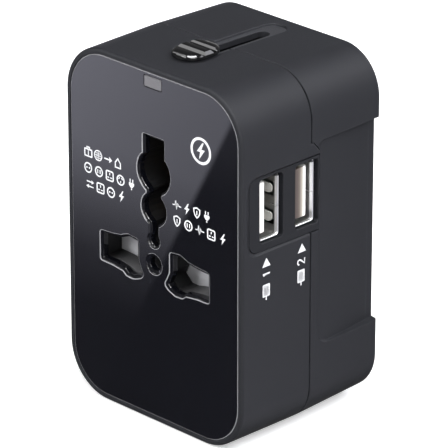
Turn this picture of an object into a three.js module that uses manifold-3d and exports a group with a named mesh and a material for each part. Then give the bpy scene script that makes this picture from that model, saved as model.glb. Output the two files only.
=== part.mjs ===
// Universal travel adapter: two-piece case, glossy socket panel, sprung safety shutter,
// three sets of plug pins on sliders, and a two-port USB supply.
// Millimetres, +Z up, +X right, +Y towards the back. Origin: middle of the flat base.
import * as THREE from 'three';
import * as BufferGeometryUtils from 'three/addons/utils/BufferGeometryUtils.js';
import Module from 'manifold-3d';

const wasm = await Module();
wasm.setup();

// ---------------------------------------------------------------- driving dimensions
const W = 48.5;            // case width
const H = 74.7;            // case height
const D = 38.4;            // case depth
const R = 10;              // corner radius seen from the front
const WALL = 1.6;          // case wall
const SEAM = 18.8;         // depth of the split between the two case halves
const SPLIT = 0.15;        // half of the gap at the split
const REAR_W = 47.1;       // width at the rear face
const REAR_H = 74.0;       // height at the rear face
const RIM = 1.1;           // rim around the panel
const PANEL_Y = [0.2, 1.8];
const PIN_LINE_Z = 34;     // height of the live and neutral openings
const TRAVEL = 17.5;       // slider travel (documented limit of the slide joints)
const CAR = [15.8, 18.8];  // carriage depth range at rest
const PIN_END = 38.1;      // pin tips at rest, just inside the rear face
const REAR_WALL = 36.6;    // inner face of the rear wall
const KNOB_Y = 10.9;       // slider knob centre at rest
const KNOB = { w: 8, l: 10.4, h: 1.75, gap: 0.3 };
const UK = { x: 11.1, z: PIN_LINE_Z, ez: 56.2, w: 6.35, t: 4, ew: 4, eh: 8 };
const US = { x: 6.35, z: 45.3, t: 1.5, h: 6.35, disc: 4 };
const EU = { x: 9.5, z: 20, r: 2 };
const SCREW = { x: 18.3, z: [6.2, 68.1], boss: 2.9, hole: 1.3, shank: 1.0, head: 2.0 };
const USB = { y: [5.7, 15.5], w: 5.3, z: [44.0, 56.7], x: [13.8, 23.2], wall: 0.35 };
const BEZEL = { y: [2.7, 21.8], z: [42.5, 57.9], x: [22.25, 23.75] };   // well clearance around each port is 0.65

// ---------------------------------------------------------------- helpers
function solid(geometry) {
  const g = geometry.clone();
  g.deleteAttribute('normal');
  g.deleteAttribute('uv');
  const m = BufferGeometryUtils.mergeVertices(g, 1e-4);
  return new wasm.Manifold(new wasm.Mesh({
    numProp: 3,
    vertProperties: new Float32Array(m.attributes.position.array),
    triVerts: new Uint32Array(m.index.array),
  }));
}
function geometryOf(manifold) {
  const m = manifold.getMesh();
  const g = new THREE.BufferGeometry();
  g.setAttribute('position', new THREE.BufferAttribute(new Float32Array(m.vertProperties), 3));
  g.setIndex(new THREE.BufferAttribute(new Uint32Array(m.triVerts), 1));
  g.computeVertexNormals();
  return g;
}
const box = (x0, x1, y0, y1, z0, z1) =>
  new THREE.BoxGeometry(x1 - x0, y1 - y0, z1 - z0).translate((x0 + x1) / 2, (y0 + y1) / 2, (z0 + z1) / 2);
const B = (...a) => solid(box(...a));
function cylY(r, y0, y1, x, z, n = 20) {
  return new THREE.CylinderGeometry(r, r, y1 - y0, n).translate(x, (y0 + y1) / 2, z);
}
function cylX(r, x0, x1, y, z, n = 16) {
  return new THREE.CylinderGeometry(r, r, x1 - x0, n).rotateZ(Math.PI / 2).translate((x0 + x1) / 2, y, z);
}
function cylZ(r, z0, z1, x, y, n = 16) {
  return new THREE.CylinderGeometry(r, r, z1 - z0, n).rotateX(Math.PI / 2).translate(x, y, (z0 + z1) / 2);
}
function rounded(w, h, r, cx = 0, cz = 0) {
  const s = new THREE.Shape();
  const x0 = cx - w / 2, x1 = cx + w / 2, z0 = cz - h / 2, z1 = cz + h / 2;
  s.moveTo(x0 + r, z0);
  s.lineTo(x1 - r, z0);
  s.absarc(x1 - r, z0 + r, r, -Math.PI / 2, 0, false);
  s.lineTo(x1, z1 - r);
  s.absarc(x1 - r, z1 - r, r, 0, Math.PI / 2, false);
  s.lineTo(x0 + r, z1);
  s.absarc(x0 + r, z1 - r, r, Math.PI / 2, Math.PI, false);
  s.lineTo(x0, z0 + r);
  s.absarc(x0 + r, z0 + r, r, Math.PI, 1.5 * Math.PI, false);
  return s;
}
function polygon(points) {
  const s = new THREE.Shape();
  points.forEach(([a, b], i) => (i ? s.lineTo(a, b) : s.moveTo(a, b)));
  s.closePath();
  return s;
}
// a shape drawn in X and Z, running from y0 to y1
function slabY(shape, y0, y1, segments = 6, bevel = 0) {
  const opts = { depth: y1 - y0, bevelEnabled: false, curveSegments: segments };
  if (bevel) Object.assign(opts, {
    depth: y1 - y0 - 2 * bevel, bevelEnabled: true, bevelThickness: bevel, bevelSize: bevel, bevelOffset: -bevel, bevelSegments: 1,
  });
  return new THREE.ExtrudeGeometry(shape, opts).rotateX(Math.PI / 2).translate(0, y1 - bevel, 0);
}
// a shape drawn in Y and Z, running from x0 to x1
function slabX(shape, x0, x1, segments = 6) {
  const g = new THREE.ExtrudeGeometry(shape, { depth: x1 - x0, bevelEnabled: false, curveSegments: segments });
  g.applyMatrix4(new THREE.Matrix4().makeBasis(new THREE.Vector3(0, 1, 0), new THREE.Vector3(0, 0, 1), new THREE.Vector3(1, 0, 0)));
  return g.translate(x0, 0, 0);
}
// a shape drawn in X and Y, running from z0 to z1
function slabZ(shape, z0, z1, segments = 6) {
  return new THREE.ExtrudeGeometry(shape, { depth: z1 - z0, bevelEnabled: false, curveSegments: segments }).translate(0, 0, z0);
}
const cut = (a, ...bs) => bs.reduce((s, b) => s.subtract(b), a);
const join = (a, ...bs) => bs.reduce((s, b) => s.add(b), a);

const group = new THREE.Group();
const body = new THREE.Group();
body.position.y = -D / 2;         // the parts below are drawn with y = 0 at the front face
group.add(body);
function add(name, shape, color, roughness, metalness = 0) {
  const geometry = shape.isBufferGeometry ? shape : geometryOf(shape);
  const mesh = new THREE.Mesh(geometry, new THREE.MeshStandardMaterial({ color, roughness, metalness }));
  mesh.name = name;
  body.add(mesh);
  return mesh;
}

const CHARCOAL = 0x34363a, GLOSS = 0x15161a, BRASS = 0xb08d57, STEEL = 0xb8bcc0, NICKEL = 0xc4c6c8;
const BOARD = 0x2f5d3a, CREAM = 0xe6dfcf, SHUTTER = 0x5a5b5e, INNER = 0x1d1e21;

// ---------------------------------------------------------------- openings seen from the front
const sideOpening = [
  [4.2, 38.1], [7.0, 38.2], [9.4, 37.6], [11.0, 37.4], [15.1, 37.05], [15.1, 30.75],
  [11.5, 30.6], [8.2, 30.0], [6.6, 29.6], [4.8, 29.65], [2.95, 31.35], [4.15, 33.5],
];
const mirrored = sideOpening.map(([x, z]) => [-x, z]).reverse();
function openingCuts(y0, y1, grow = 0) {
  const cuts = [
    solid(slabY(polygon(sideOpening), y0, y1)),
    solid(slabY(polygon(mirrored), y0, y1)),
    ...earthCuts(y0, y1, grow),
    solid(cylY(2.2 + grow, y0, y1, 0, PIN_LINE_Z, 16)),
  ];
  return cuts;
}
function earthCuts(y0, y1, grow = 0) {
  return [
    B(-3 - grow, 3 + grow, y0, y1, 54, 60.6 + grow),
    solid(cylY(4.6 + grow, y0, y1, 0, 53, 24)),
    B(-2 - grow, 2 + grow, y0, y1, 47.4, 50),
    solid(cylY(3.5 + grow, y0, y1, 0, 45.4, 20)),
    B(-1.25 - grow, 1.25 + grow, y0, y1, 37.4 - grow, 44),
  ];
}

// ---------------------------------------------------------------- case halves
const shellOuterFront = () => {
  const long = solid(slabY(rounded(W, H, R, 0, H / 2), 0, D, 8, 0.7));
  return cut(long, B(-60, 60, SEAM - SPLIT, 80, -20, 120));
};
function taperRear(g) {
  // narrows from the split to the rear face; the base stays flat
  const p = g.attributes.position;
  for (let i = 0; i < p.count; i++) {
    const t = Math.max(0, (p.getY(i) - SEAM) / (D - SEAM));
    p.setX(i, p.getX(i) * (1 + t * (REAR_W / W - 1)));
    p.setZ(i, p.getZ(i) * (1 + t * (REAR_H / H - 1)));
  }
  return g;
}
const slotY = [KNOB_Y - 2.3, KNOB_Y + TRAVEL + 2.3];
function sliderSlots() {
  // one slot in the roof and two in the left wall, each in a shallow channel
  const channel = (z) => solid(slabX(rounded(29.6, 5.6, 2.75, (5.4 + 35) / 2, z), -27, -W / 2 + 0.6, 4));
  return [
    B(-1.5, 1.5, slotY[0], slotY[1], 65, 80),
    solid(slabZ(rounded(5.6, 29.6, 2.75, 0, (5.4 + 35) / 2), H - 0.7, 80, 4)),
    B(-30, -20, slotY[0], slotY[1], UK.ez - 1.5, UK.ez + 1.5),
    channel(UK.ez),
    B(-30, -20, slotY[0], slotY[1], EU.z - 1.5, EU.z + 1.5),
    channel(EU.z),
  ];
}
const usbWindow = () => B(21, 30, BEZEL.y[0] - 0.3, BEZEL.y[1] + 0.3, BEZEL.z[0] - 0.3, BEZEL.z[1] + 0.3);
const knee = () => solid(slabX(polygon([[18.4, 57], [22.1, 57], [22.1, 58.3], [19.35, 60.6], [18.4, 60.6]]), 22.7, 30));

const bosses = (y0, y1, r) => SCREW.z.flatMap((z) => [-1, 1].map((s) => solid(cylY(r, y0, y1, s * SCREW.x, z, 16))));

let front = shellOuterFront();
front = cut(front,
  solid(slabY(rounded(W - 2 * RIM, H - 2 * RIM, R - RIM, 0, H / 2), -1, 2.1, 8)),
  solid(slabY(rounded(W - 2 * WALL, H - 2 * WALL, R - WALL, 0, H / 2), 3.4, 30, 8)),
  solid(slabY(rounded(42.5, 68, 7.6, 0, H / 2), 0, 5, 8)),
  B(-2.6, 2.6, 1, 5, 69.5, 73));
front = join(front, ...bosses(2.2, SEAM - SPLIT, SCREW.boss));
front = front.intersect(shellOuterFront());
front = cut(front, ...bosses(7, 30, SCREW.hole), ...sliderSlots(), usbWindow());
add('front_housing', front, CHARCOAL, 0.55);

let rear = solid(taperRear(slabY(rounded(W, H, R, 0, H / 2), 0, D, 8, 0.5)));
const rearOuter = rear.subtract(B(-60, 60, -20, SEAM + SPLIT, -20, 120));
rear = cut(rearOuter, solid(taperRear(slabY(rounded(W - 2 * WALL, H - 2 * WALL, R - WALL, 0, H / 2), 0, REAR_WALL, 8))));
rear = join(rear, ...bosses(19.2, REAR_WALL + 0.3, SCREW.boss), B(-14, 14, 30, REAR_WALL + 0.3, 25, 26.6));
rear = rear.intersect(rearOuter);
const taperX = (y) => W / 2 + ((y - SEAM) / (D - SEAM)) * ((REAR_W - W) / 2);
const grip = (s, z0, z1) => {
  const p = [[taperX(21) + 0.02, 21], [30, 21], [30, 40], [taperX(40) - 0.95, 40]].map(([x, y]) => [s * x, y]);
  return solid(slabZ(polygon(s > 0 ? p : p.reverse()), z0, z1));
};
rear = cut(rear,
  ...bosses(10, 37.5, SCREW.hole + 0.05), ...bosses(36.9, 40, SCREW.head + 0.4),
  ...sliderSlots(), usbWindow(), knee(), grip(1, 17.8, 60.5), grip(-1, 28, 48.5),
  solid(cylY(US.disc + 0.2, 30, 40, US.x, US.z, 24)), solid(cylY(US.disc + 0.2, 30, 40, -US.x, US.z, 24)),
  B(UK.x - UK.w / 2 - 0.3, UK.x + UK.w / 2 + 0.3, 30, 40, UK.z - UK.t / 2 - 0.3, UK.z + UK.t / 2 + 0.3),
  B(-UK.x - UK.w / 2 - 0.3, -UK.x + UK.w / 2 + 0.3, 30, 40, UK.z - UK.t / 2 - 0.3, UK.z + UK.t / 2 + 0.3),
  B(-UK.ew / 2 - 0.3, UK.ew / 2 + 0.3, 30, 40, UK.ez - UK.eh / 2 - 0.3, UK.ez + UK.eh / 2 + 0.3),
  solid(cylY(EU.r + 0.3, 30, 40, EU.x, EU.z, 16)), solid(cylY(EU.r + 0.3, 30, 40, -EU.x, EU.z, 16)));
add('rear_housing', rear, CHARCOAL, 0.55);

// ---------------------------------------------------------------- front panel and indicator
let panel = solid(slabY(rounded(W - 2 * RIM - 0.4, H - 2 * RIM - 0.4, R - RIM - 0.2, 0, H / 2), ...PANEL_Y, 8));
panel = cut(panel, ...openingCuts(-2, 4), B(-2.3, 2.3, -2, 4, 70.4, 72.7));
add('front_panel', panel, GLOSS, 0.12);
add('indicator_window', box(-2.1, 2.1, 0.3, 3.0, 70.6, 72.5), 0x6d7076, 0.35);
add('indicator_led', box(-1.4, 1.4, 3.3, 4.6, 70.7, 72.3), 0xd8e6da, 0.3);
add('indicator_board', box(-5, 5, 4.9, 5.9, 63.2, 72.4), BOARD, 0.6);

// ---------------------------------------------------------------- socket core, contacts and shutter
const CORE = [2.15, 15.4];
let core = B(-18.5, 18.5, ...CORE, 28.4, 41.2);
core = join(core, B(-8, 8, ...CORE, 36, 62.2), B(-2.2, 2.2, 9.4, 10.9, 10.6, 30), B(-2.2, 2.2, 5.8, 10.9, 10.6, 12));
core = cut(core,
  ...openingCuts(-2, 6.5, 0.15),
  B(-16.4, 16.4, 5.95, 9.15, 20, 39.8),                       // shutter space, open below
  B(-15.4, -3.4, 9, 14.9, 30.7, 37.3), B(3.4, 15.4, 9, 14.9, 30.7, 37.3),   // line contacts
  ...earthCuts(-2, 9.5, 0.15),
  B(-3.5, 3.5, 9.2, 14.9, 42.2, 60.8));                       // earth contact
add('socket_core', core, INNER, 0.6);

const clipProfile = (z0, z1) => polygon([
  [9.6, z1], [9.6, z1 - 0.5], [14.0, z1 - 0.5], [14.0, z0 + 0.5], [9.6, z0 + 0.5], [9.6, z0], [14.5, z0], [14.5, z1],
].reverse());
add('live_contact', slabX(clipProfile(31.1, 36.9), -15.0, -3.8), BRASS, 0.35, 0.9);
add('neutral_contact', slabX(clipProfile(31.1, 36.9), 3.8, 15.0), BRASS, 0.35, 0.9);
const earthProfile = polygon([
  [-3.1, 9.8], [-2.6, 9.8], [-2.6, 14.0], [2.6, 14.0], [2.6, 9.8], [3.1, 9.8], [3.1, 14.5], [-3.1, 14.5],
]);
add('earth_contact', slabZ(earthProfile, 42.7, 60.3), BRASS, 0.35, 0.9);

// each shutter blade is a wedge whose slope a pin pushes down
const wedge = polygon([[6.3, 29.0], [8.8, 29.0], [8.8, 39.2], [8.2, 39.2], [6.3, 31.2]]);
let shutter = join(solid(slabX(wedge, -16.0, -3.1)), solid(slabX(wedge, 3.1, 16.0)), B(-4, 4, 6.9, 8.8, 29.0, 31.0));
add('safety_shutter', shutter, SHUTTER, 0.45);

function helix(r, wire, z0, z1, turns, x, y) {
  const pts = [];
  const n = Math.round(turns * 10);
  for (let i = 0; i <= n; i++) {
    const a = (i / n) * turns * 2 * Math.PI;
    pts.push(new THREE.Vector3(x + r * Math.cos(a), y + r * Math.sin(a), z0 + wire + (i / n) * (z1 - z0 - 2 * wire)));
  }
  const circle = new THREE.Shape();
  circle.absarc(0, 0, wire, 0, 2 * Math.PI, false);
  return new THREE.ExtrudeGeometry(circle, { steps: n, curveSegments: 5, bevelEnabled: false, extrudePath: new THREE.CatmullRomCurve3(pts) });
}
add('shutter_spring', helix(0.95, 0.18, 12.3, 28.7, 7, 0, 7.6), STEEL, 0.3, 0.9);

// ---------------------------------------------------------------- USB supply
let bezel = B(...BEZEL.x, ...BEZEL.y, ...BEZEL.z);
for (const y of USB.y) bezel = bezel.subtract(B(20, 26, y - 0.65, y + USB.w + 0.65, USB.z[0] - 0.6, USB.z[1] + 0.6));
add('usb_bezel', bezel, CHARCOAL, 0.55);
USB.y.forEach((y, i) => {
  const n = i + 1;
  const outer = solid(slabX(rounded(USB.w, USB.z[1] - USB.z[0], 0.6, y + USB.w / 2, (USB.z[0] + USB.z[1]) / 2), ...USB.x, 2));
  const inner = B(10, 30, y + USB.wall, y + USB.w - USB.wall, USB.z[0] + USB.wall, USB.z[1] - USB.wall);
  add(`usb_shell_${n}`, cut(outer, inner), STEEL, 0.22, 0.95);
  add(`usb_tongue_${n}`, join(
    B(15.3, 22.6, y + 0.75, y + 2.6, USB.z[0] + 0.9, USB.z[1] - 0.9),
    B(14.0, 16.0, y + 0.5, y + USB.w - 0.5, USB.z[0] + 0.5, USB.z[1] - 0.5)), CREAM, 0.5);
});
add('usb_board', box(12.2, 13.4, 3.2, 21.9, 41.6, 60.2), BOARD, 0.6);

// ---------------------------------------------------------------- mains side electronics
add('power_board', box(-14.2, 14.2, 3.7, 4.9, 3.2, 19.2), BOARD, 0.6);
add('transformer', join(B(-13.2, -3.2, 5.2, 14.4, 4.4, 15.4), B(-12.0, -4.4, 5.2, 14.8, 6.0, 13.8)), 0xc9a227, 0.6);
add('storage_capacitor', cylY(3.9, 5.2, 14.6, 8.4, 8.6, 18), 0x23262c, 0.45);
add('surge_varistor', cylY(2.7, 5.6, 8.2, 11.0, 16.1, 16), 0x2d5fa8, 0.5);
add('mains_fuse', cylX(1.5, 3.2, 8.0, 6.9, 14.9, 12), 0xd7d2c4, 0.4);
add('live_rail', box(-13, -8, 17.6, 35.6, 26.9, 27.7), BRASS, 0.35, 0.9);
add('neutral_rail', box(8, 13, 17.6, 35.6, 26.9, 27.7), BRASS, 0.35, 0.9);

// ---------------------------------------------------------------- case screws
let k = 1;
for (const z of SCREW.z) for (const s of [-1, 1]) {
  let screw = join(solid(cylY(SCREW.shank, 8, 37.2, s * SCREW.x, z, 10)), solid(cylY(SCREW.head, 37.0, 38.1, s * SCREW.x, z, 16)));
  screw = cut(screw, B(s * SCREW.x - 1.1, s * SCREW.x + 1.1, 37.5, 39, z - 0.3, z + 0.3), B(s * SCREW.x - 0.3, s * SCREW.x + 0.3, 37.5, 39, z - 1.1, z + 1.1));
  add(`case_screw_${k++}`, screw, STEEL, 0.35, 0.9);
}

// ---------------------------------------------------------------- sliders
// A knob is drawn flat (length along Y, width along X, rising along Z from 0), then placed.
function knobSolid(stem) {
  let s = solid(slabZ(rounded(KNOB.w, KNOB.l, 3.6, 0, 0), 0, KNOB.h - 0.6, 5));
  for (let i = -2; i <= 2; i++) s = s.add(B(-3.1, 3.1, i * 1.75 - 0.4, i * 1.75 + 0.4, 0.4, KNOB.h));
  return s.add(B(-1.2, 1.2, -2, 2, -stem, 0.4));
}
function placed(s, matrix) {
  const g = geometryOf(s);
  g.applyMatrix4(matrix);
  return g;
}
const roof = new THREE.Matrix4().makeTranslation(0, KNOB_Y, H + KNOB.gap);
const leftAt = (z) => new THREE.Matrix4().makeTranslation(-W / 2 - KNOB.gap, KNOB_Y, z)
  .multiply(new THREE.Matrix4().makeBasis(new THREE.Vector3(0, 0, 1), new THREE.Vector3(0, 1, 0), new THREE.Vector3(-1, 0, 0)));

add('us_au_knob', placed(knobSolid(2.9), roof), GLOSS, 0.15);
add('uk_knob', placed(knobSolid(2.65), leftAt(UK.ez)), GLOSS, 0.15);
add('eu_knob', placed(knobSolid(2.65), leftAt(EU.z)), GLOSS, 0.15);

let usCar = join(B(-10.5, 10.5, ...CAR, 41, 49.6), B(5.2, 9.6, ...CAR, 49, 71.8), B(-3, 9.6, ...CAR, 66, 71.8), B(-3, 3, 8.9, CAR[1], 69.6, 71.8));
usCar = cut(usCar, solid(cylY(1.5, 10, 25, US.x, US.z, 14)), solid(cylY(1.5, 10, 25, -US.x, US.z, 14)));
add('us_au_carriage', usCar, CREAM, 0.55);
for (const [name, s] of [['left', -1], ['right', 1]]) {
  add(`us_au_blade_${name}`, join(
    solid(cylY(1.2, 16.2, 19.6, s * US.x, US.z, 12)),
    solid(cylY(US.disc, 19.1, 20.9, s * US.x, US.z, 24)),
    B(s * US.x - US.t / 2, s * US.x + US.t / 2, 20.5, PIN_END, US.z - US.h / 2, US.z + US.h / 2)), NICKEL, 0.28, 0.9);
}

const pinHole = (x, z, w, h) => B(x - w / 2 - 0.3, x + w / 2 + 0.3, 10, 25, z - h / 2 - 0.3, z + h / 2 + 0.3);
let ukCar = join(
  B(-21.6, 3.7, ...CAR, 51.2, 61.2), B(-17.2, -12, ...CAR, 30.4, 61.2), B(-15.6, 15.6, ...CAR, 30.4, 38.2),
  B(-21.6, -19.9, 8.9, CAR[1], 53.7, 58.7));
ukCar = cut(ukCar, pinHole(UK.x, UK.z, UK.w, UK.t), pinHole(-UK.x, UK.z, UK.w, UK.t), pinHole(0, UK.ez, UK.ew, UK.eh));
add('uk_carriage', ukCar, CREAM, 0.55);
add('uk_neutral_pin', box(UK.x - UK.w / 2, UK.x + UK.w / 2, 16.2, PIN_END, UK.z - UK.t / 2, UK.z + UK.t / 2), BRASS, 0.3, 0.9);
add('uk_live_pin', box(-UK.x - UK.w / 2, -UK.x + UK.w / 2, 16.2, PIN_END, UK.z - UK.t / 2, UK.z + UK.t / 2), BRASS, 0.3, 0.9);
add('uk_earth_pin', box(-UK.ew / 2, UK.ew / 2, 16.2, PIN_END, UK.ez - UK.eh / 2, UK.ez + UK.eh / 2), BRASS, 0.3, 0.9);

let euCar = join(B(-21.6, 12.6, ...CAR, 16, 24), B(-21.6, -19.9, 8.9, CAR[1], 17.5, 22.5));
euCar = cut(euCar, solid(cylY(EU.r + 0.3, 10, 25, EU.x, EU.z, 14)), solid(cylY(EU.r + 0.3, 10, 25, -EU.x, EU.z, 14)));
add('eu_carriage', euCar, CREAM, 0.55);
add('eu_pin_left', cylY(EU.r, 16.2, PIN_END, -EU.x, EU.z, 16), NICKEL, 0.28, 0.9);
add('eu_pin_right', cylY(EU.r, 16.2, PIN_END, EU.x, EU.z, 16), NICKEL, 0.28, 0.9);

export default group;
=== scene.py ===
import math
import random

import bmesh
import bpy
from mathutils import Matrix, Vector
from mathutils.geometry import tessellate_polygon


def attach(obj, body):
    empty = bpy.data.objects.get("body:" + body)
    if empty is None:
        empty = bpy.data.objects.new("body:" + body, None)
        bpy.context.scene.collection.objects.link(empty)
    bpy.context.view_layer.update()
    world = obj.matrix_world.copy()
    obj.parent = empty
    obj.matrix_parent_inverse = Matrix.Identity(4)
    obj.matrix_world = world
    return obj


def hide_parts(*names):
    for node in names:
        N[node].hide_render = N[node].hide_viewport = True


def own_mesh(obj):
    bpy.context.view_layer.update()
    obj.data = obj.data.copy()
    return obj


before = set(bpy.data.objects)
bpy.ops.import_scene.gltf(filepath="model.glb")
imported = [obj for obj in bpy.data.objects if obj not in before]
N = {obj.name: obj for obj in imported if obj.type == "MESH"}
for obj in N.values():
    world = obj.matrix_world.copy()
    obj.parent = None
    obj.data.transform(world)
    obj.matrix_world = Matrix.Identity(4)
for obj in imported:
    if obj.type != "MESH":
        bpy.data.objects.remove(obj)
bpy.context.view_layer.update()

random.seed(7)

# Lengths below are millimetres, y counted from the front face, as in the CAD.
MM = 0.001
Y0 = -19.2


def P(x, y, z):
    return (x * MM, (y + Y0) * MM, z * MM)


# ------------------------------------------------------------------ materials
def new_mat(name):
    m = bpy.data.materials.new(name)
    m.use_nodes = True
    nt = m.node_tree
    nt.nodes.clear()
    out = nt.nodes.new("ShaderNodeOutputMaterial")
    b = nt.nodes.new("ShaderNodeBsdfPrincipled")
    nt.links.new(b.outputs[0], out.inputs[0])
    return m, nt, b


def coords(nt, scale=(1, 1, 1)):
    tc = nt.nodes.new("ShaderNodeTexCoord")
    mp = nt.nodes.new("ShaderNodeMapping")
    mp.inputs["Scale"].default_value = scale
    nt.links.new(tc.outputs["Object"], mp.inputs["Vector"])
    return mp.outputs["Vector"]


def noise(nt, vec, scale, detail=3.0, rough=0.5):
    n = nt.nodes.new("ShaderNodeTexNoise")
    n.inputs["Scale"].default_value = scale
    n.inputs["Detail"].default_value = detail
    n.inputs["Roughness"].default_value = rough
    nt.links.new(vec, n.inputs["Vector"])
    return n.outputs["Fac"]


def remap(nt, fac, a, b, lo=0.0, hi=1.0):
    r = nt.nodes.new("ShaderNodeMapRange")
    r.inputs["From Min"].default_value = lo
    r.inputs["From Max"].default_value = hi
    r.inputs["To Min"].default_value = a
    r.inputs["To Max"].default_value = b
    nt.links.new(fac, r.inputs["Value"])
    return r.outputs["Result"]


def mix_col(nt, fac, c1, c2):
    m = nt.nodes.new("ShaderNodeMix")
    m.data_type = "RGBA"
    for i, c in ((6, c1), (7, c2)):
        if isinstance(c, tuple):
            m.inputs[i].default_value = (*c[:3], 1)
        else:
            nt.links.new(c, m.inputs[i])
    nt.links.new(fac, m.inputs[0])
    return m.outputs[2]


def math_node(nt, op, a, b=None):
    n = nt.nodes.new("ShaderNodeMath")
    n.operation = op
    for i, v in enumerate((a, b)):
        if v is None:
            continue
        if isinstance(v, (int, float)):
            n.inputs[i].default_value = v
        else:
            nt.links.new(v, n.inputs[i])
    return n.outputs[0]


def bump(nt, b, height, strength, distance, normal=None):
    n = nt.nodes.new("ShaderNodeBump")
    n.inputs["Strength"].default_value = strength
    n.inputs["Distance"].default_value = distance
    nt.links.new(height, n.inputs["Height"])
    if normal:
        nt.links.new(normal, n.inputs["Normal"])
    nt.links.new(n.outputs[0], b.inputs["Normal"])
    return n.outputs[0]


def edge_mask(nt, radius, lo=0.03, hi=0.35):
    """1 on sharp outer edges, 0 on flats: how far the rounded normal leaves the true one."""
    bv = nt.nodes.new("ShaderNodeBevel")
    bv.samples = 4
    bv.inputs["Radius"].default_value = radius
    geo = nt.nodes.new("ShaderNodeNewGeometry")
    dot = nt.nodes.new("ShaderNodeVectorMath")
    dot.operation = "DOT_PRODUCT"
    nt.links.new(bv.outputs[0], dot.inputs[0])
    nt.links.new(geo.outputs["Normal"], dot.inputs[1])
    inv = math_node(nt, "SUBTRACT", 1.0, dot.outputs["Value"])
    return remap(nt, inv, 0.0, 1.0, lo * 0.2, hi * 0.5)


def plastic(name, color, rough, grain=0.00016, grain_depth=0.00001, spec=0.5, wear=0.35, tint=0.12, coat=0.0):
    """Moulded plastic: spark-eroded grain, slow colour drift, shiny rubbed edges."""
    m, nt, b = new_mat(name)
    v = coords(nt)
    slow = noise(nt, v, 60, 3)
    fine = noise(nt, v, 1.0 / grain, 2, 0.6)
    c = mix_col(nt, slow, tuple(x * (1 - tint) for x in color), tuple(x * (1 + tint) for x in color))
    if wear:
        e = edge_mask(nt, 0.00035)
        patch = math_node(nt, "MULTIPLY", e, remap(nt, noise(nt, v, 420, 2), 0.15, 1.0, 0.35, 0.65))
        w = math_node(nt, "MULTIPLY", patch, wear)
        c = mix_col(nt, w, c, tuple(min(1.0, x * 3.2 + 0.015) for x in color))
        r = math_node(nt, "SUBTRACT", remap(nt, fine, rough - 0.06, rough + 0.08), math_node(nt, "MULTIPLY", w, 0.25))
    else:
        r = remap(nt, fine, rough - 0.05, rough + 0.07)
    nt.links.new(c, b.inputs["Base Color"])
    nt.links.new(r, b.inputs["Roughness"])
    b.inputs["Specular IOR Level"].default_value = spec
    b.inputs["Coat Weight"].default_value = coat
    bump(nt, b, fine, 0.5, grain_depth)
    return m


def gloss(name, color, rough=0.03, wave=0.000002, spec=0.5):
    """Polished plastic: a faint long ripple and hairline dust, so it isn't a perfect mirror."""
    m, nt, b = new_mat(name)
    v = coords(nt)
    c = mix_col(nt, noise(nt, v, 35, 2), tuple(x * 0.85 for x in color), tuple(x * 1.15 for x in color))
    nt.links.new(c, b.inputs["Base Color"])
    smear = noise(nt, v, 140, 4, 0.6)
    nt.links.new(remap(nt, smear, rough * 0.7, rough * 1.6, 0.3, 0.7), b.inputs["Roughness"])
    b.inputs["Specular IOR Level"].default_value = spec
    bump(nt, b, noise(nt, v, 90, 1), 0.15, wave)
    return m


def metal(name, color, rough=0.25, brush=(1, 1, 1), scratch=0.6, dark=0.55):
    """Plated or drawn metal: brushed lines along one axis, faint tarnish."""
    m, nt, b = new_mat(name)
    v = coords(nt, brush)
    lines = noise(nt, v, 2600, 3, 0.65)
    v2 = coords(nt)
    tarnish = noise(nt, v2, 320, 4, 0.6)
    c = mix_col(nt, remap(nt, tarnish, 0, 1, 0.35, 0.75), color, tuple(x * (1 - 0.25 * dark) for x in color))
    nt.links.new(c, b.inputs["Base Color"])
    b.inputs["Metallic"].default_value = 1.0
    r = math_node(nt, "ADD", remap(nt, lines, rough - 0.06, rough + 0.1, 0.3, 0.7), remap(nt, tarnish, 0, 0.08, 0.4, 0.8))
    nt.links.new(r, b.inputs["Roughness"])
    bump(nt, b, lines, 0.25 * scratch, 0.000004)
    return m


CASE = plastic("case_charcoal", (0.0128, 0.0134, 0.0160), 0.54, spec=0.17, grain=0.00022, grain_depth=0.000007)
CASE_DARK = plastic("bezel_charcoal", (0.0098, 0.0104, 0.0124), 0.48, spec=0.15, grain=0.00022, grain_depth=0.000006)
PANEL = gloss("panel_gloss_black", (0.0026, 0.0027, 0.0040), 0.02)
# Paler plastic for the slider channels' floors: a painted highlight.
CHANNEL_FLOOR_SHEEN = plastic("channel_floor_painted_sheen", (0.024, 0.025, 0.029), 0.42, grain=0.0004, grain_depth=0.000006, wear=0.0)
# Light grey for the panel's thin edge bevels: a painted highlight, the bright line the edges catch.
PANEL_EDGE_HIGHLIGHT = plastic("panel_edge_painted_highlight", (0.20, 0.20, 0.21), 0.35, grain=0.0004, grain_depth=0.000003, wear=0.0)
KNOB = gloss("knob_gloss_black", (0.0035, 0.0035, 0.0040), 0.09, wave=0.000004)
INNER = plastic("inner_black", (0.0040, 0.0040, 0.0045), 0.5, grain=0.0002, grain_depth=0.000005, wear=0.1)
SHUT = plastic("shutter_grey", (0.46, 0.46, 0.48), 0.38, grain=0.0003, grain_depth=0.000004, wear=0.15)
CREAM = plastic("carriage_cream", (0.52, 0.49, 0.42), 0.42, grain=0.0003, grain_depth=0.000005, wear=0.1, tint=0.05)
TONGUE = plastic("usb_tongue_white", (0.66, 0.655, 0.635), 0.35, grain=0.0003, grain_depth=0.000003, wear=0.0, tint=0.05)
SLEEVE = plastic("pin_sleeve_black", (0.006, 0.006, 0.007), 0.4, grain=0.0002, grain_depth=0.000004)
BRASS = metal("contact_brass", (0.74, 0.55, 0.27), 0.26, brush=(1, 0.04, 1))
NICKEL = metal("pin_nickel", (0.70, 0.69, 0.67), 0.22, brush=(1, 0.04, 1))
USBSTEEL = metal("usb_bright_steel", (0.90, 0.90, 0.90), 0.34, brush=(0.05, 1, 1), dark=0.25)
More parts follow.
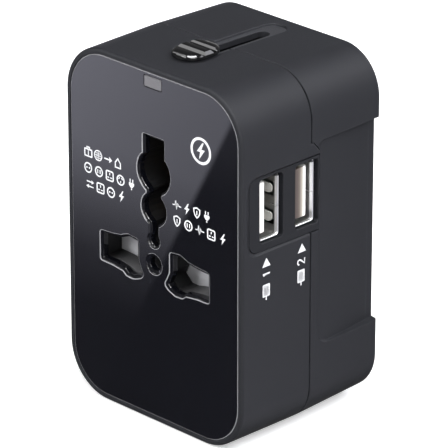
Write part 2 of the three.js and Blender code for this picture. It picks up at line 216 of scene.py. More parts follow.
# Darker steel for the port's inner faces and near lip, near-black for its upper wall: painted shade.
INNER_STEEL_PAINTED_SHADE = metal("usb_inner_steel_painted_shade", (0.30, 0.30, 0.295), 0.42, brush=(0.05, 1, 1), dark=0.5)
TOP_STEEL_PAINTED_SHADE = metal("usb_top_steel_painted_shade", (0.10, 0.10, 0.10), 0.5, brush=(0.05, 1, 1), dark=0.6)
TABSTEEL = plastic("usb_spring_sheet", (0.36, 0.355, 0.335), 0.34, grain=0.0003, grain_depth=0.000003, wear=0.0)
ZINC = metal("screw_zinc", (0.50, 0.50, 0.51), 0.32)
GOLD = metal("gold_contact", (0.70, 0.58, 0.36), 0.25, brush=(0.05, 1, 1))
TAPE = plastic("transformer_tape", (0.60, 0.40, 0.05), 0.35, grain=0.0005, wear=0.0)
CAPS = plastic("capacitor_sleeve", (0.012, 0.016, 0.026), 0.25, grain=0.0006, wear=0.2)
VARI = plastic("varistor_blue", (0.02, 0.09, 0.33), 0.4, grain=0.0005, wear=0.0)
CERAMIC = plastic("fuse_ceramic", (0.66, 0.62, 0.54), 0.45, grain=0.0004, wear=0.0)


def board_mat():
    m, nt, b = new_mat("circuit_board")
    v = coords(nt)
    wv = nt.nodes.new("ShaderNodeTexBrick")
    wv.inputs["Scale"].default_value = 620
    wv.inputs["Mortar Size"].default_value = 0.018
    nt.links.new(v, wv.inputs["Vector"])
    c = mix_col(nt, wv.outputs["Fac"], (0.012, 0.085, 0.032), (0.03, 0.17, 0.07))
    nt.links.new(c, b.inputs["Base Color"])
    nt.links.new(remap(nt, noise(nt, v, 900, 2), 0.25, 0.45), b.inputs["Roughness"])
    bump(nt, b, wv.outputs["Fac"], 0.4, 0.00002)
    return m


def window_mat():
    m, nt, b = new_mat("indicator_window")
    v = coords(nt)
    c = mix_col(nt, noise(nt, v, 900, 2), (0.085, 0.083, 0.088), (0.115, 0.112, 0.118))
    nt.links.new(c, b.inputs["Base Color"])
    nt.links.new(remap(nt, noise(nt, v, 2600, 2), 0.28, 0.42), b.inputs["Roughness"])
    b.inputs["Subsurface Weight"].default_value = 0.25
    b.inputs["Subsurface Radius"].default_value = (0.0008, 0.0008, 0.0008)
    b.inputs["Subsurface Scale"].default_value = 1.0
    return m


def print_mat():
    m, nt, b = new_mat("pad_print_white")
    v = coords(nt)
    n = noise(nt, v, 5200, 3)
    c = mix_col(nt, n, (0.50, 0.505, 0.52), (0.60, 0.605, 0.615))
    nt.links.new(c, b.inputs["Base Color"])
    nt.links.new(remap(nt, n, 0.4, 0.6), b.inputs["Roughness"])
    bump(nt, b, n, 0.2, 0.000004)
    return m


def led_mat():
    m, nt, b = new_mat("led_resin")
    v = coords(nt)
    c = mix_col(nt, noise(nt, v, 1500, 2), (0.70, 0.74, 0.66), (0.82, 0.85, 0.78))
    nt.links.new(c, b.inputs["Base Color"])
    nt.links.new(remap(nt, noise(nt, v, 3000, 2), 0.08, 0.18), b.inputs["Roughness"])
    b.inputs["Transmission Weight"].default_value = 0.5
    return m


def painted_shade_tongue_mat():
    """Moulded nylon with painted shade: near-black brown at its front side, in the shade of the port, paling to near
    white at its rear side.
    """
    m, nt, b = new_mat("usb_tongue_painted_shade")
    v = coords(nt)
    sep = nt.nodes.new("ShaderNodeSeparateXYZ")
    nt.links.new(v, sep.inputs[0])
    n = noise(nt, v, 1400, 3)
    y = math_node(nt, "ADD", math_node(nt, "MULTIPLY", sep.outputs[1], 1000), math_node(nt, "MULTIPLY", n, 0.12))
    # the colour ramp across y is painted shade, darkest at the tongue's front side
    r = nt.nodes.new("ShaderNodeValToRGB")
    nt.links.new(remap(nt, y, 0.0, 1.0, 16.2 + Y0, 18.95 + Y0), r.inputs[0])
    els = r.color_ramp.elements
    els[0].position, els[0].color = 0.0, (0.060, 0.043, 0.036, 1)
    els[1].position, els[1].color = 1.0, (0.92, 0.92, 0.90, 1)
    for p_, c_ in ((0.26, (0.110, 0.088, 0.072, 1)), (0.40, (0.24, 0.215, 0.18, 1)), (0.55, (0.36, 0.34, 0.30, 1)), (0.63, (0.80, 0.79, 0.77, 1))):
        e_ = els.new(p_)
        e_.color = c_
    nt.links.new(r.outputs[0], b.inputs["Base Color"])
    nt.links.new(remap(nt, n, 0.3, 0.42), b.inputs["Roughness"])
    bump(nt, b, n, 0.2, 0.000003)
    return m


TONGUE_PAINTED_SHADE = painted_shade_tongue_mat()
def painted_core_mat():
    """Black core with painted light: dark grey around the two lower pin openings, brightest low down and toward their
    +x side where light would reach, black above.
    """
    m, nt, b = new_mat("core_black_painted_light")
    v = coords(nt)
    sep = nt.nodes.new("ShaderNodeSeparateXYZ")
    nt.links.new(v, sep.inputs[0])
    n = noise(nt, v, 2600, 3)
    z = math_node(nt, "MULTIPLY", sep.outputs[2], 1000)
    x = math_node(nt, "MULTIPLY", sep.outputs[0], 1000)
    across = math_node(nt, "ADD", x, math_node(nt, "MULTIPLY", math_node(nt, "LESS_THAN", x, 0.0), 19.0))
    # painted light: k is 1 low in each lower opening and toward its +x side, and falls to 0 toward the shaded upper
    # left.
    k = math_node(nt, "MULTIPLY", remap(nt, z, 1.0, 0.0, 31.0, 39.0), remap(nt, across, 0.0, 1.0, 5.0, 11.0))
    nt.links.new(mix_col(nt, k, (0.0040, 0.0040, 0.0045), (0.080, 0.080, 0.083)), b.inputs["Base Color"])
    nt.links.new(remap(nt, n, 0.42, 0.56), b.inputs["Roughness"])
    b.inputs["Specular IOR Level"].default_value = 0.3
    bump(nt, b, n, 0.3, 0.000005)
    return m


CORE_PAINTED_LIGHT = painted_core_mat()
BOARD, WINDOW, PRINT, LED = board_mat(), window_mat(), print_mat(), led_mat()


# ------------------------------------------------------------------ mesh helpers
def obj_from(name, verts, faces, mat, angle=28, weld=0.002, to_frame=True):
    me = bpy.data.meshes.new(name)
    me.from_pydata([P(*v) if to_frame else tuple(v) for v in verts], [], faces)
    bm = bmesh.new()
    bm.from_mesh(me)
    if weld:
        bmesh.ops.remove_doubles(bm, verts=bm.verts, dist=weld * MM)
    bmesh.ops.dissolve_degenerate(bm, dist=1e-7, edges=bm.edges)
    bmesh.ops.recalc_face_normals(bm, faces=bm.faces)
    bm.to_mesh(me)
    bm.free()
    me.materials.append(mat)
    o = bpy.data.objects.new(name, me)
    bpy.context.scene.collection.objects.link(o)
    o["angle"] = angle
    return o


def shade(o, angle=None):
    me = o.data
    me.polygons.foreach_set("use_smooth", [True] * len(me.polygons))
    me.set_sharp_from_angle(angle=math.radians(angle or o.get("angle", 28)))
    w = o.modifiers.new("weighted", "WEIGHTED_NORMAL")
    w.mode = "FACE_AREA"
    w.weight = 50
    w.keep_sharp = True
    if "angle" in o:
        del o["angle"]
    return o


def put(o, body, *nodes, slot=None):
    shade(o)
    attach(o, body)
    if nodes:
        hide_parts(*nodes)
    return o


def bake(o):
    dg = bpy.context.evaluated_depsgraph_get()
    dg.update()
    me = bpy.data.meshes.new_from_object(o.evaluated_get(dg))
    o.modifiers.clear()
    old = o.data
    o.data = me
    bpy.data.meshes.remove(old)
    return o


def boolean(o, cutters, op="DIFFERENCE"):
    """Exact cut or join, worked out at 1000 times the size, where the solver's tolerances suit."""
    big = Matrix.Diagonal((1000, 1000, 1000, 1))
    for x in [o] + cutters:
        x.data.transform(big)
    for c in cutters:
        m = o.modifiers.new("b", "BOOLEAN")
        m.operation = op
        m.solver = "EXACT"
        m.object = c
        bpy.context.view_layer.update()
        bake(o)
    o.data.transform(big.inverted())
    for c in cutters:
        me = c.data
        bpy.data.objects.remove(c)
        bpy.data.meshes.remove(me)
    bm = bmesh.new()
    bm.from_mesh(o.data)
    bmesh.ops.remove_doubles(bm, verts=bm.verts, dist=1e-7)
    bmesh.ops.dissolve_degenerate(bm, dist=1e-7, edges=bm.edges)
    bm.to_mesh(o.data)
    bm.free()
    return o


def copy_of(o, name):
    c = bpy.data.objects.new(name, o.data.copy())
    bpy.context.scene.collection.objects.link(c)
    c["angle"] = o.get("angle", 28)
    return c


def area2(pts):
    return sum(a[0] * b[1] - b[0] * a[1] for a, b in zip(pts, pts[1:] + pts[:1]))


def ccw(pts):
    return pts if area2(pts) > 0 else pts[::-1]


def dedupe(pts, eps=1e-4):
    out = []
    for p in pts:
        if not out or math.hypot(p[0] - out[-1][0], p[1] - out[-1][1]) > eps:
            out.append(p)
    if math.hypot(out[0][0] - out[-1][0], out[0][1] - out[-1][1]) < eps:
        out.pop()
    return out


def offset(pts, d):
    """Moves a closed outline d to the left of its direction."""
    out = []
    n = len(pts)
    for i in range(n):
        (ax, ay), (bx, by), (cx, cy) = pts[i - 1], pts[i], pts[(i + 1) % n]
        l1, l2 = math.hypot(bx - ax, by - ay), math.hypot(cx - bx, cy - by)
        n1 = (-(by - ay) / l1, (bx - ax) / l1)
        n2 = (-(cy - by) / l2, (cx - bx) / l2)
        k = 1 + n1[0] * n2[0] + n1[1] * n2[1]
        k = max(k, 0.5)
        out.append((bx + d * (n1[0] + n2[0]) / k, by + d * (n1[1] + n2[1]) / k))
    return out


def arc(cx, cy, r, a0, a1, n):
    return [(cx + r * math.cos(math.radians(a0 + (a1 - a0) * i / n)), cy + r * math.sin(math.radians(a0 + (a1 - a0) * i / n))) for i in range(n + 1)]


def rrect(cx, cy, w, h, r, n=8):
    r = min(r, w / 2 - 1e-4, h / 2 - 1e-4)
    pts = []
    for sx, sy, a in ((1, -1, -90), (1, 1, 0), (-1, 1, 90), (-1, -1, 180)):
        pts += arc(cx + sx * (w / 2 - r), cy + sy * (h / 2 - r), r, a, a + 90, n)
    return dedupe(pts)


def fillet(pts, r, n=5):
    """Rounds each corner of a closed outline; r is one number or one per corner."""
    out = []
    m = len(pts)
    for i in range(m):
        ri = r[i] if isinstance(r, (list, tuple)) else r
        a, b, c = Vector(pts[i - 1]), Vector(pts[i]), Vector(pts[(i + 1) % m])
        u, v = (a - b).normalized(), (c - b).normalized()
        ang = math.acos(max(-1, min(1, u.dot(v))))
        if ri < 1e-4 or ang > math.radians(176):
            out.append(tuple(b))
            continue
        t = min(ri / math.tan(ang / 2), (a - b).length * 0.45, (c - b).length * 0.45)
        rr = t * math.tan(ang / 2)
        ctr = b + (u + v).normalized() * (rr / math.sin(ang / 2))
        p0, p1 = b + u * t, b + v * t
        a0 = math.atan2(p0.y - ctr.y, p0.x - ctr.x)
        a1 = math.atan2(p1.y - ctr.y, p1.x - ctr.x)
        da = (a1 - a0 + math.pi) % (2 * math.pi) - math.pi
        out += [(ctr.x + rr * math.cos(a0 + da * k / n), ctr.y + rr * math.sin(a0 + da * k / n)) for k in range(n + 1)]
    return dedupe(out)


def prism(outer, holes, rings):
    """Closed solid from an outline with holes. rings is [(height, inset)...] from bottom to top, or (height, inset, [inset of each hole])."""
    loops = [ccw(dedupe(outer))] + [ccw(dedupe(h))[::-1] for h in holes]
    verts, faces, starts = [], [], []
    for ring in rings:
        h, inset = ring[0], ring[1]
        each = [inset] + (list(ring[2]) if len(ring) > 2 else [inset] * len(holes))
        row = []
        for lp, d in zip(loops, each):
            row.append(len(verts))
            verts += [(x, y, h) for x, y in (offset(lp, d) if abs(d) > 1e-9 else lp)]
        starts.append(row)
    for a, b in zip(starts, starts[1:]):
        for lp, sa, sb in zip(loops, a, b):
            n = len(lp)
            faces += [(sa + i, sa + (i + 1) % n, sb + (i + 1) % n, sb + i) for i in range(n)]
    for row, flip in ((starts[0], True), (starts[-1], False)):
        flat, base = [], []
        for lp, s in zip(loops, row):
            flat.append([Vector((*verts[s + i][:2], 0)) for i in range(len(lp))])
            base += [s + i for i in range(len(lp))]
        for t in tessellate_polygon(flat):
            tri = [base[i] for i in t]
            faces.append(tuple(tri[::-1]) if flip else tuple(tri))
    return verts, faces


def soft(lo, hi, b=0.2, n=3, low=True, high=True):
    """Ring list of a slab from lo to hi with rounded edges."""
    r = []
    if low:
        r += [(lo + b * (1 - math.sin(math.radians(90 * i / n))), b * (1 - math.cos(math.radians(90 * i / n)))) for i in range(n, -1, -1)]
    else:
        r += [(lo, 0)]
    if high:
        r += [(hi - b * (1 - math.sin(math.radians(90 * i / n))), b * (1 - math.cos(math.radians(90 * i / n)))) for i in range(0, n + 1)]
    else:
        r += [(hi, 0)]
    out = []
    for p in r:
        if not out or abs(p[0] - out[-1][0]) + abs(p[1] - out[-1][1]) > 1e-6:
            out.append(p)
    return out


def swap(verts, kind):
    """Outline axes to frame axes. kind: 'front' (u=x, v=z, height=-y), 'right' (u=y, v=z, height=x), 'top' (u=x, v=y, height=z)."""
    if kind == "front":
        return [(u, -h, v) for u, v, h in verts]
    if kind == "back":
        return [(u, h, v) for u, v, h in verts]
    if kind == "right":
        return [(h, u, v) for u, v, h in verts]
    if kind == "left":
        return [(-h, u, v) for u, v, h in verts]
    return [(u, v, h) for u, v, h in verts]


def slab(name, outer, holes, rings, kind, mat, angle=28, warp=None):
    v, f = prism(outer, holes, rings)
    v = swap(v, kind)
    if warp:
        v = [warp(*p) for p in v]
    return obj_from(name, v, f, mat, angle)


# ------------------------------------------------------------------ case outline at each depth
SEAM = 18.8
BACK = 38.4


def lerp(a, b, t):
    return a + (b - a) * t


def dims(y):
    if y <= SEAM:
        t = max(0.0, y / SEAM)
        return lerp(48.36, 48.44, t), lerp(74.7, 74.3, t), lerp(10.4, 9.3, t)
    t = (y - SEAM) / (BACK - SEAM)
    return lerp(48.44, 47.75, t), lerp(74.3, 73.5, t), lerp(9.3, 9.4, t)


def half_w(y):
    return dims(y)[0] / 2


def top_z(y):
    return 37.35 + dims(y)[1] / 2


NC = 18


def section(y, inset):
    w, h, r = dims(y)
    return rrect_exact(0, 37.35, w - 2 * inset, h - 2 * inset, max(r - inset, 0.4), NC)


def rrect_exact(cx, cy, w, h, r, n):
    pts = []
    for sx, sy, a in ((1, -1, -90), (1, 1, 0), (-1, 1, 90), (-1, -1, 180)):
        pts += arc(cx + sx * (w / 2 - r), cy + sy * (h / 2 - r), r, a, a + 90, n)
    return pts


def loft(rings, closed=False, caps=True):
    """rings: [(y, inset)...]. closed joins the last ring to the first."""
    verts, faces = [], []
    m = 4 * (NC + 1)
    for y, inset in rings:
        verts += [(x, y, z) for x, z in section(y, inset)]
    pairs = list(zip(range(len(rings)), range(1, len(rings))))
    if closed:
        pairs.append((len(rings) - 1, 0))
    for a, b in pairs:
        faces += [(a * m + i, a * m + (i + 1) % m, b * m + (i + 1) % m, b * m + i) for i in range(m)]
    if not closed and caps:
        faces.append(tuple(range(m))[::-1])
        faces.append(tuple((len(rings) - 1) * m + i for i in range(m)))
    return verts, faces


# ------------------------------------------------------------------ sliders' channels and slots
KNOB_Y = 10.9
UK_Z, EU_Z = 56.2, 20.0


OFF_X = 0.5   # the roof channel sits a little right of the middle


def channel_cutter(where, z=0.0):
    """Shallow stadium recess with a softened edge, and the through slot in its floor."""
    out = []
    c = (7.0 + 35.2) / 2
    for w, l, rings in (
        (5.5, 35.2 - 7.0, [(-0.40, 0.12), (-0.34, 0.02), (-0.12, 0.0), (0.0, -0.1), (0.6, -0.6)]),
        (2.9, 30.9 - 8.5, [(-4.0, 0.0), (-0.50, 0.0), (-0.34, -0.12)]),
    ):
        mid = c if w > 5 else (30.9 + 8.5) / 2
        if where == "top":
            o = slab("cut", rrect(OFF_X, mid, w, l, w / 2, 12), [], rings, "top", CASE, warp=lambda x, y, h: (x, y, h + top_z(min(max(y, 0), BACK))))
        else:
            o = slab("cut", rrect(mid, z, l, w, w / 2, 12), [], rings, "left", CASE, warp=lambda x, y, zz: (x - half_w(min(max(y, 0), BACK)), y, zz))
        out.append(o)
    return out


def all_channels():
    return channel_cutter("top") + channel_cutter("left", UK_Z) + channel_cutter("left", EU_Z)


def painted_sheen_floors(o):
    """The channel floors are painted paler: a painted highlight standing in for the sheen they catch."""
    o.data.materials.append(CHANNEL_FLOOR_SHEEN)
    for poly in o.data.polygons:
        c, n = poly.center / MM, poly.normal
        y = c.y - Y0
        if 4.5 < y < 36 and abs(n.z) > 0.9 and abs(c.x - OFF_X) < 2.9 and 0.25 < top_z(y) - c.z < 0.6:
            poly.material_index = 1
        if 4.5 < y < 36 and abs(n.x) > 0.9 and c.x < 0 and 0.25 < c.x + half_w(y) < 0.6 and min(abs(c.z - UK_Z), abs(c.z - EU_Z)) < 2.9:
            poly.material_index = 1


# ------------------------------------------------------------------ front housing
rings = [(2.05, 1.10), (0.12, 1.10), (0.03, 1.06), (0.0, 0.98), (0.0, 0.72)]
rings += [(0.7 * (1 - math.cos(math.radians(a))), 0.7 * (1 - math.sin(math.radians(a)))) for a in (12, 24, 36, 48, 60, 72, 84, 90)]
rings += [(9.0, 0), (SEAM - 0.36, 0), (SEAM - 0.23, 0.04), (SEAM - 0.15, 0.17), (SEAM - 0.15, 1.6), (3.4, 1.6), (3.4, 3.1), (2.05, 3.1)]
v, f = loft(rings, closed=True)
front = obj_from("front_housing_shell", v, f, CASE, 30)

# the small tab of the front half that reaches past the split above the USB bezel
TAB = [(17.0, 57.2), (21.3, 57.2), (21.3, 58.45), (19.4, 60.6), (18.7, 60.75), (17.0, 60.75)]


def side_warp(base):
    def w(x, y, z):
        return (x - base + half_w(min(max(y, 0), BACK)), y, z)
    return w


tab = slab("tab", TAB, [], [(24 - 1.5, 0), (24 - 0.08, 0), (24.0, 0.07)], "right", CASE, warp=side_warp(24.0))
front = boolean(front, [tab], "UNION")

# USB recess: sloped wall at the front, small lead-in at the top and bottom
RECESS = fillet([(2.3, 42.2), (21.4, 42.2), (21.4, 57.78), (2.3, 57.78)], [2.1, 0.05, 0.05, 2.1], 8)


def recess_cutter(grow=0.0):
    rings = [(24 - 3.5, grow), (24 - 0.52, 0), (24 - 0.40, -0.03), (24 - 0.04, -0.36), (24 + 0.02, -0.50), (24 + 0.5, -0.9)]

    def slope(x, y, z):
        """The wall beside the front edge leans further back than the others."""
        k = max(0.0, min(1.0, (x - 23.48) / 0.54)) * max(0.0, min(1.0, (5.0 - y) / 2.0))
        return side_warp(24.0)(x, y - 0.62 * k, z)
    o = slab("cut", RECESS, [], rings, "right", CASE, warp=slope)
    return o


front = boolean(front, all_channels() + [recess_cutter()])
painted_sheen_floors(front)
put(front, "base", "front_housing", slot="case_plastic")

# ------------------------------------------------------------------ rear housing
def arc_in(y_end, r, n=6):
    """Rounded rear edge: (y, inset) from the side to the face."""
    return [(y_end - r * (1 - math.sin(math.radians(90 * i / n))), r * (1 - math.cos(math.radians(90 * i / n)))) for i in range(n + 1)]


outer = [(SEAM + 0.15, 1.6), (SEAM + 0.15, 0.17), (SEAM + 0.23, 0.04), (SEAM + 0.36, 0), (24, 0), (30, 0)] + arc_in(BACK, 0.75)
inner = [(36.6, 1.6)]
m = 4 * (NC + 1)
verts, faces = [], []
rr = [inner[0]] + outer
for y, inset in rr:
    verts += [(x, y, z) for x, z in section(y, inset)]
for a in range(len(rr) - 1):
    faces += [(a * m + i, a * m + (i + 1) % m, (a + 1) * m + (i + 1) % m, (a + 1) * m + i) for i in range(m)]
faces.append(tuple(range(m))[::-1])
faces.append(tuple((len(rr) - 1) * m + i for i in range(m)))
rear = obj_from("rear_housing_shell", verts, faces, CASE, 30)


def grip_cutter(side, z0, z1, rad, depth, y_start=20.9):
    """Shallow thumb recess that fades in behind the split and deepens to the rear edge."""
    out = fillet([(y_start, z0), (42, z0), (42, z1), (y_start, z1)], [rad, 0.6, 0.6, rad * 0.5], 10)
    # rings: floor, start of the rounded wall, wall, surface, well outside
    v, f = prism(out, [], [(0, 0.30), (1, 0.08), (2, 0.0), (3, -0.12), (4, -0.4)])
    wide = {0: 1.7, 1: 1.3, 2: 0.6, 3: 0.0, 4: 0.0}
    vv = []
    for u, z, h in v:
        h = round(h)
        u += wide[h] * max(0.0, 1 - max(0.0, u - y_start) / 7.0)
        y = min(max(u, 0), BACK + 3)
        t = (u - y_start) / (BACK - y_start)
        turn = max(0.0, (u - 35.7) / 2.7)
        d = 0.48 + (depth - 0.42 - 0.48) * max(0.0, t) + 0.42 * min(turn, 1.5) ** 2
        surf = half_w(min(y, BACK)) - (0.034 * max(0, y - BACK))
        x = surf + {0: -d, 1: -d + 0.06, 2: -d * 0.55, 3: 0.03, 4: 2.0}[h]
        vv.append((side * x, u, z))
    return obj_from("cut", vv, f, CASE)


def hole_cutter(out, mat=None, d0=34.0):
    """Hole through the rear wall with a chamfered mouth."""
    return slab("cut", out, [], [(d0, 0), (BACK - 0.28, 0), (BACK, -0.28), (BACK + 0.6, -0.85)], "back", CASE)


def circle(cx, cy, r, n=48):
    return [(cx + r * math.cos(2 * math.pi * i / n), cy + r * math.sin(2 * math.pi * i / n)) for i in range(n)]


holes = [hole_cutter(circle(s * 6.35, 45.3, 4.2)) for s in (-1, 1)]
holes += [hole_cutter(rrect(s * 11.1, 34, 6.95, 4.6, 0.5, 4)) for s in (-1, 1)]
holes += [hole_cutter(rrect(0, UK_Z, 4.6, 8.6, 0.5, 4))]
holes += [hole_cutter(circle(s * 9.5, 20, 2.3, 32)) for s in (-1, 1)]
SCREWS = [(s * 18.3, z) for z in (6.2, 68.1) for s in (-1, 1)]
holes += [slab("cut", circle(x, z, 2.4, 32), [], [(36.9, 0), (BACK - 0.2, 0), (BACK, -0.2), (BACK + 0.5, -0.7)], "back", CASE) for x, z in SCREWS]

tab2 = slab("tab2", [(p[0] + (0.14 if p[0] > 18.75 else 0), p[1] + (0.12 if p[1] > 58.3 else 0)) for p in TAB], [], [(24 - 3, 0), (24 + 1, 0)], "right", CASE, warp=side_warp(24.0))
notch = slab("cut", [(10, 42.1), (21.4, 42.1), (21.4, 58.4), (10, 58.4)], [], [(20, 0), (30, 0)], "right", CASE)
rear = boolean(rear, all_channels())
rear = boolean(rear, [notch, tab2, grip_cutter(1, 17.6, 60.6, 3.4, 1.28, 20.6), grip_cutter(-1, 28, 48.5, 3.0, 1.1)])
rear = boolean(rear, holes)
painted_sheen_floors(rear)
put(rear, "base", "rear_housing", slot="case_plastic")

# ------------------------------------------------------------------ front panel with the openings
SIDE = [
    (4.32, 37.70), (7.3, 37.98), (8.6, 37.52), (9.3, 37.18), (11.6, 36.84), (15.15, 36.6), (15.15, 30.22),
    (11.4, 30.12), (8.75, 29.78), (7.75, 29.02), (5.9, 28.90), (3.75, 29.72), (2.88, 30.62), (3.6, 31.85), (4.32, 33.3),
]
RAD = [0.66, 1.2, 1.0, 0.8, 3.0, 0.66, 0.66, 3.0, 0.7, 0.8, 2.0, 1.6, 0.72, 1.5, 2.0]
n_open = fillet(SIDE, RAD, 5)
l_open = [(-x, z) for x, z in n_open]


def keyhole():
    right = [(3.0, 60.6), (3.0, 56.49)]
    a1 = math.degrees(math.asin((56.49 - 53) / 4.6))
    a2 = math.degrees(math.asin(-(53 - 48.95) / 4.6))
    right += arc(0, 53, 4.6, a1, a2, 20)
    right += [(2.0, 48.55)]
    b1 = math.degrees(math.asin((48.2 - 45.4) / 3.5))
    b2 = -math.degrees(math.asin(3.24 / 3.5))
    right += arc(0, 45.4, 3.5, b1, b2, 20)
    right += [(1.28, 41.6)]
    right += arc(0, 38.9, 1.68, 41, -90, 20)
    left = [(-x, z) for x, z in right[::-1]][1:]
    pts = dedupe(right + left)
    rads = []
    for k in range(len(pts)):
        a, b, c = Vector(pts[k - 1]), Vector(pts[k]), Vector(pts[(k + 1) % len(pts)])
        turn = math.degrees((b - a).angle(c - b))
        rads.append(0.0 if turn < 14 else (0.5 if b.y > 60 else 0.3))
    return fillet(pts, rads, 4)


W0, H0, R0 = dims(0)
panel_out = rrect(0, 37.35, W0 - 2.42, H0 - 2.42, R0 - 1.21, 24)
led_hole = rrect(0, 71.6, 4.64, 2.3, 0.3, 4)
LIPS = [0.56, 0.56, 0.42, 0.66, 0.0]      # width of the dark slope inside each opening
EDGE = 0.17


def panel_ring(h, outer, hole, lip):
    return (h, outer, [hole - lip * w for w in LIPS])


panel_rings = [
    panel_ring(-1.80, 0.0, 0.0, 1.0), panel_ring(-0.62, 0.0, 0.0, 1.0), panel_ring(-0.54, 0.0, 0.0, 0.90), panel_ring(-0.38, 0.0, 0.0, 0.18),
    panel_ring(-0.28, 0.0, 0.0, 0.0), panel_ring(-0.17, EDGE * 0.45, EDGE * 0.5, 0.0), panel_ring(-0.14, EDGE, EDGE, 0.0),
]
v, f = prism(panel_out, [n_open, l_open, keyhole(), circle(0, 33.85, 2.14, 44), led_hole], panel_rings)
panel = obj_from("front_panel_gloss", swap(v, "front"), f, PANEL, 12)
panel.data.materials.append(PANEL_EDGE_HIGHLIGHT)

# The thin bevels round the panel and its openings take the light grey as a painted highlight. Faces near the LED window
# keep the black gloss, and so do faces of the middle openings' lower part that turn right or up.
for poly in panel.data.polygons:
    ys = [panel.data.vertices[k].co.y / MM - Y0 for k in poly.vertices]
    c = poly.center
    near_led = abs(c.x / MM) < 3 and 69.8 < c.z / MM < 73.0
    if max(ys) < 0.285 and min(ys) < 0.171 and max(ys) > 0.141 and not near_led:
        foot = (abs(c.x / MM) < 2.6 and c.z / MM < 36.6) or (abs(c.x / MM) < 2.2 and c.z / MM < 42.5)
        poly.material_index = 0 if foot and 28 < c.z / MM and (poly.normal.x > 0.22 or poly.normal.z > 0.35) else 1
put(panel, "base", "front_panel", slot="panel_gloss")

win = slab("indicator_window_lens", rrect(0, 71.6, 4.6, 2.26, 0.28, 4), [], soft(-3.0, -0.15, 0.06, 2), "front", WINDOW)
put(win, "base", "indicator_window", slot="window_plastic")

# ------------------------------------------------------------------ generic pad-printed marks on the panel
prints = []


def mark(name, outer, holes=(), kind="front", base=-0.14, warp=None):
    if kind == "front":
        o = slab(name, outer, list(holes), [(-0.2, 0), (-0.115, 0), (-0.105, 0.012)], "front", PRINT)
    else:
        o = slab(name, outer, list(holes), [(24 - 0.05, 0), (24 + 0.018, 0)], "right", PRINT, warp=side_warp(24.0))
    prints.append(o)
    return o


def stroke(pts, w, n=6, closed=False):
    """Outline of a line of width w with round ends."""
    left, right = [], []
    m = len(pts)
    for i, p in enumerate(pts):
        a = pts[max(i - 1, 0)]
        b = pts[min(i + 1, m - 1)]
        l = math.hypot(b[0] - a[0], b[1] - a[1])
        nx, ny = -(b[1] - a[1]) / l, (b[0] - a[0]) / l
        left.append((p[0] + nx * w / 2, p[1] + ny * w / 2))
        right.append((p[0] - nx * w / 2, p[1] - ny * w / 2))
    return dedupe(left + right[::-1])


def join_objs(objs, name):
    bm = bmesh.new()
    for o in objs:
        bm.from_mesh(o.data)
    me = bpy.data.meshes.new(name)
    bm.to_mesh(me)
    bm.free()
    me.materials.append(objs[0].data.materials[0])
    o2 = bpy.data.objects.new(name, me)
    bpy.context.scene.collection.objects.link(o2)
    for o in objs:
        d = o.data
        bpy.data.objects.remove(o)
        bpy.data.meshes.remove(d)
    return o2


def hole_in(outline, w):
    return [offset(ccw(dedupe(outline)), w)]


def m_ring(cx, cz, r, w, n=28):
    mark("m", circle(cx, cz, r, n), [circle(cx, cz, r - w, n)])


def m_dot(cx, cz, r, n=12):
    mark("m", circle(cx, cz, r, n))


def m_bar(cx, cz, w, h, r=0.06):
    mark("m", rrect(cx, cz, w, h, min(r, w / 2.2, h / 2.2), 2))


def m_line(pts, w):
    mark("m", stroke(pts, w))


G = 0.30     # stroke width of the small pictograms
H2 = 1.12    # half their height


def p_two_dots(cx, cz):
    m_ring(cx, cz, H2, G)
    m_dot(cx - 0.36, cz, 0.19)
    m_dot(cx + 0.36, cz, 0.19)


def p_two_bars(cx, cz):
    m_ring(cx, cz, H2, G)
    m_bar(cx - 0.33, cz, 0.24, 0.85)
    m_bar(cx + 0.33, cz, 0.24, 0.85)


def p_three_bars(cx, cz):
    o = rrect(cx, cz, 2 * H2, 2 * H2, 0.45, 4)
    mark("m", o, [rrect(cx, cz, 2 * H2 - 2 * G, 2 * H2 - 2 * G, 0.2, 3)])
    m_bar(cx, cz + 0.38, 0.26, 0.5)
    m_bar(cx - 0.40, cz - 0.36, 0.5, 0.24)
    m_bar(cx + 0.40, cz - 0.36, 0.5, 0.24)


def p_slant_bars(cx, cz):
    m_ring(cx, cz, H2, G)
    m_line([(cx - 0.55, cz + 0.15), (cx - 0.25, cz + 0.55)], 0.22)
    m_line([(cx + 0.55, cz + 0.15), (cx + 0.25, cz + 0.55)], 0.22)
    m_bar(cx, cz - 0.42, 0.22, 0.5)


def p_case(cx, cz):
    mark("m", rrect(cx, cz - 0.2, 2.3, 1.75, 0.25, 3), [rrect(cx, cz - 0.2, 2.3 - 2 * G, 1.75 - 2 * G, 0.08, 2)])
    mark("m", [(cx - 0.5, cz + 0.72), (cx - 0.5, cz + 1.12), (cx + 0.5, cz + 1.12), (cx + 0.5, cz + 0.72), (cx + 0.24, cz + 0.72), (cx + 0.24, cz + 0.87), (cx - 0.24, cz + 0.87), (cx - 0.24, cz + 0.72)])
    m_bar(cx, cz - 0.2, 0.22, 1.05)


def p_globe(cx, cz):
    m_ring(cx, cz, H2 + 0.03, 0.24)
    m_bar(cx, cz, 0.2, 1.72)
    for s in (-1, 1):
        m_bar(cx + s * 0.47, cz, 0.6, 0.2)
        m_line([(cx + s * 0.22, cz + 0.48), (cx + s * 0.68, cz + 0.40)], 0.16)
        m_line([(cx + s * 0.22, cz - 0.48), (cx + s * 0.68, cz - 0.40)], 0.16)


def p_plug(cx, cz):
    mark("m", fillet([(cx - 0.72, cz + 0.35), (cx - 0.72, cz - 0.15), (cx - 0.25, cz - 0.7), (cx + 0.25, cz - 0.7), (cx + 0.72, cz - 0.15), (cx + 0.72, cz + 0.35)], 0.12, 3))
    for s in (-1, 1):
        m_bar(cx + s * 0.36, cz + 0.78, 0.26, 0.66)
    m_bar(cx, cz - 0.98, 0.24, 0.4)


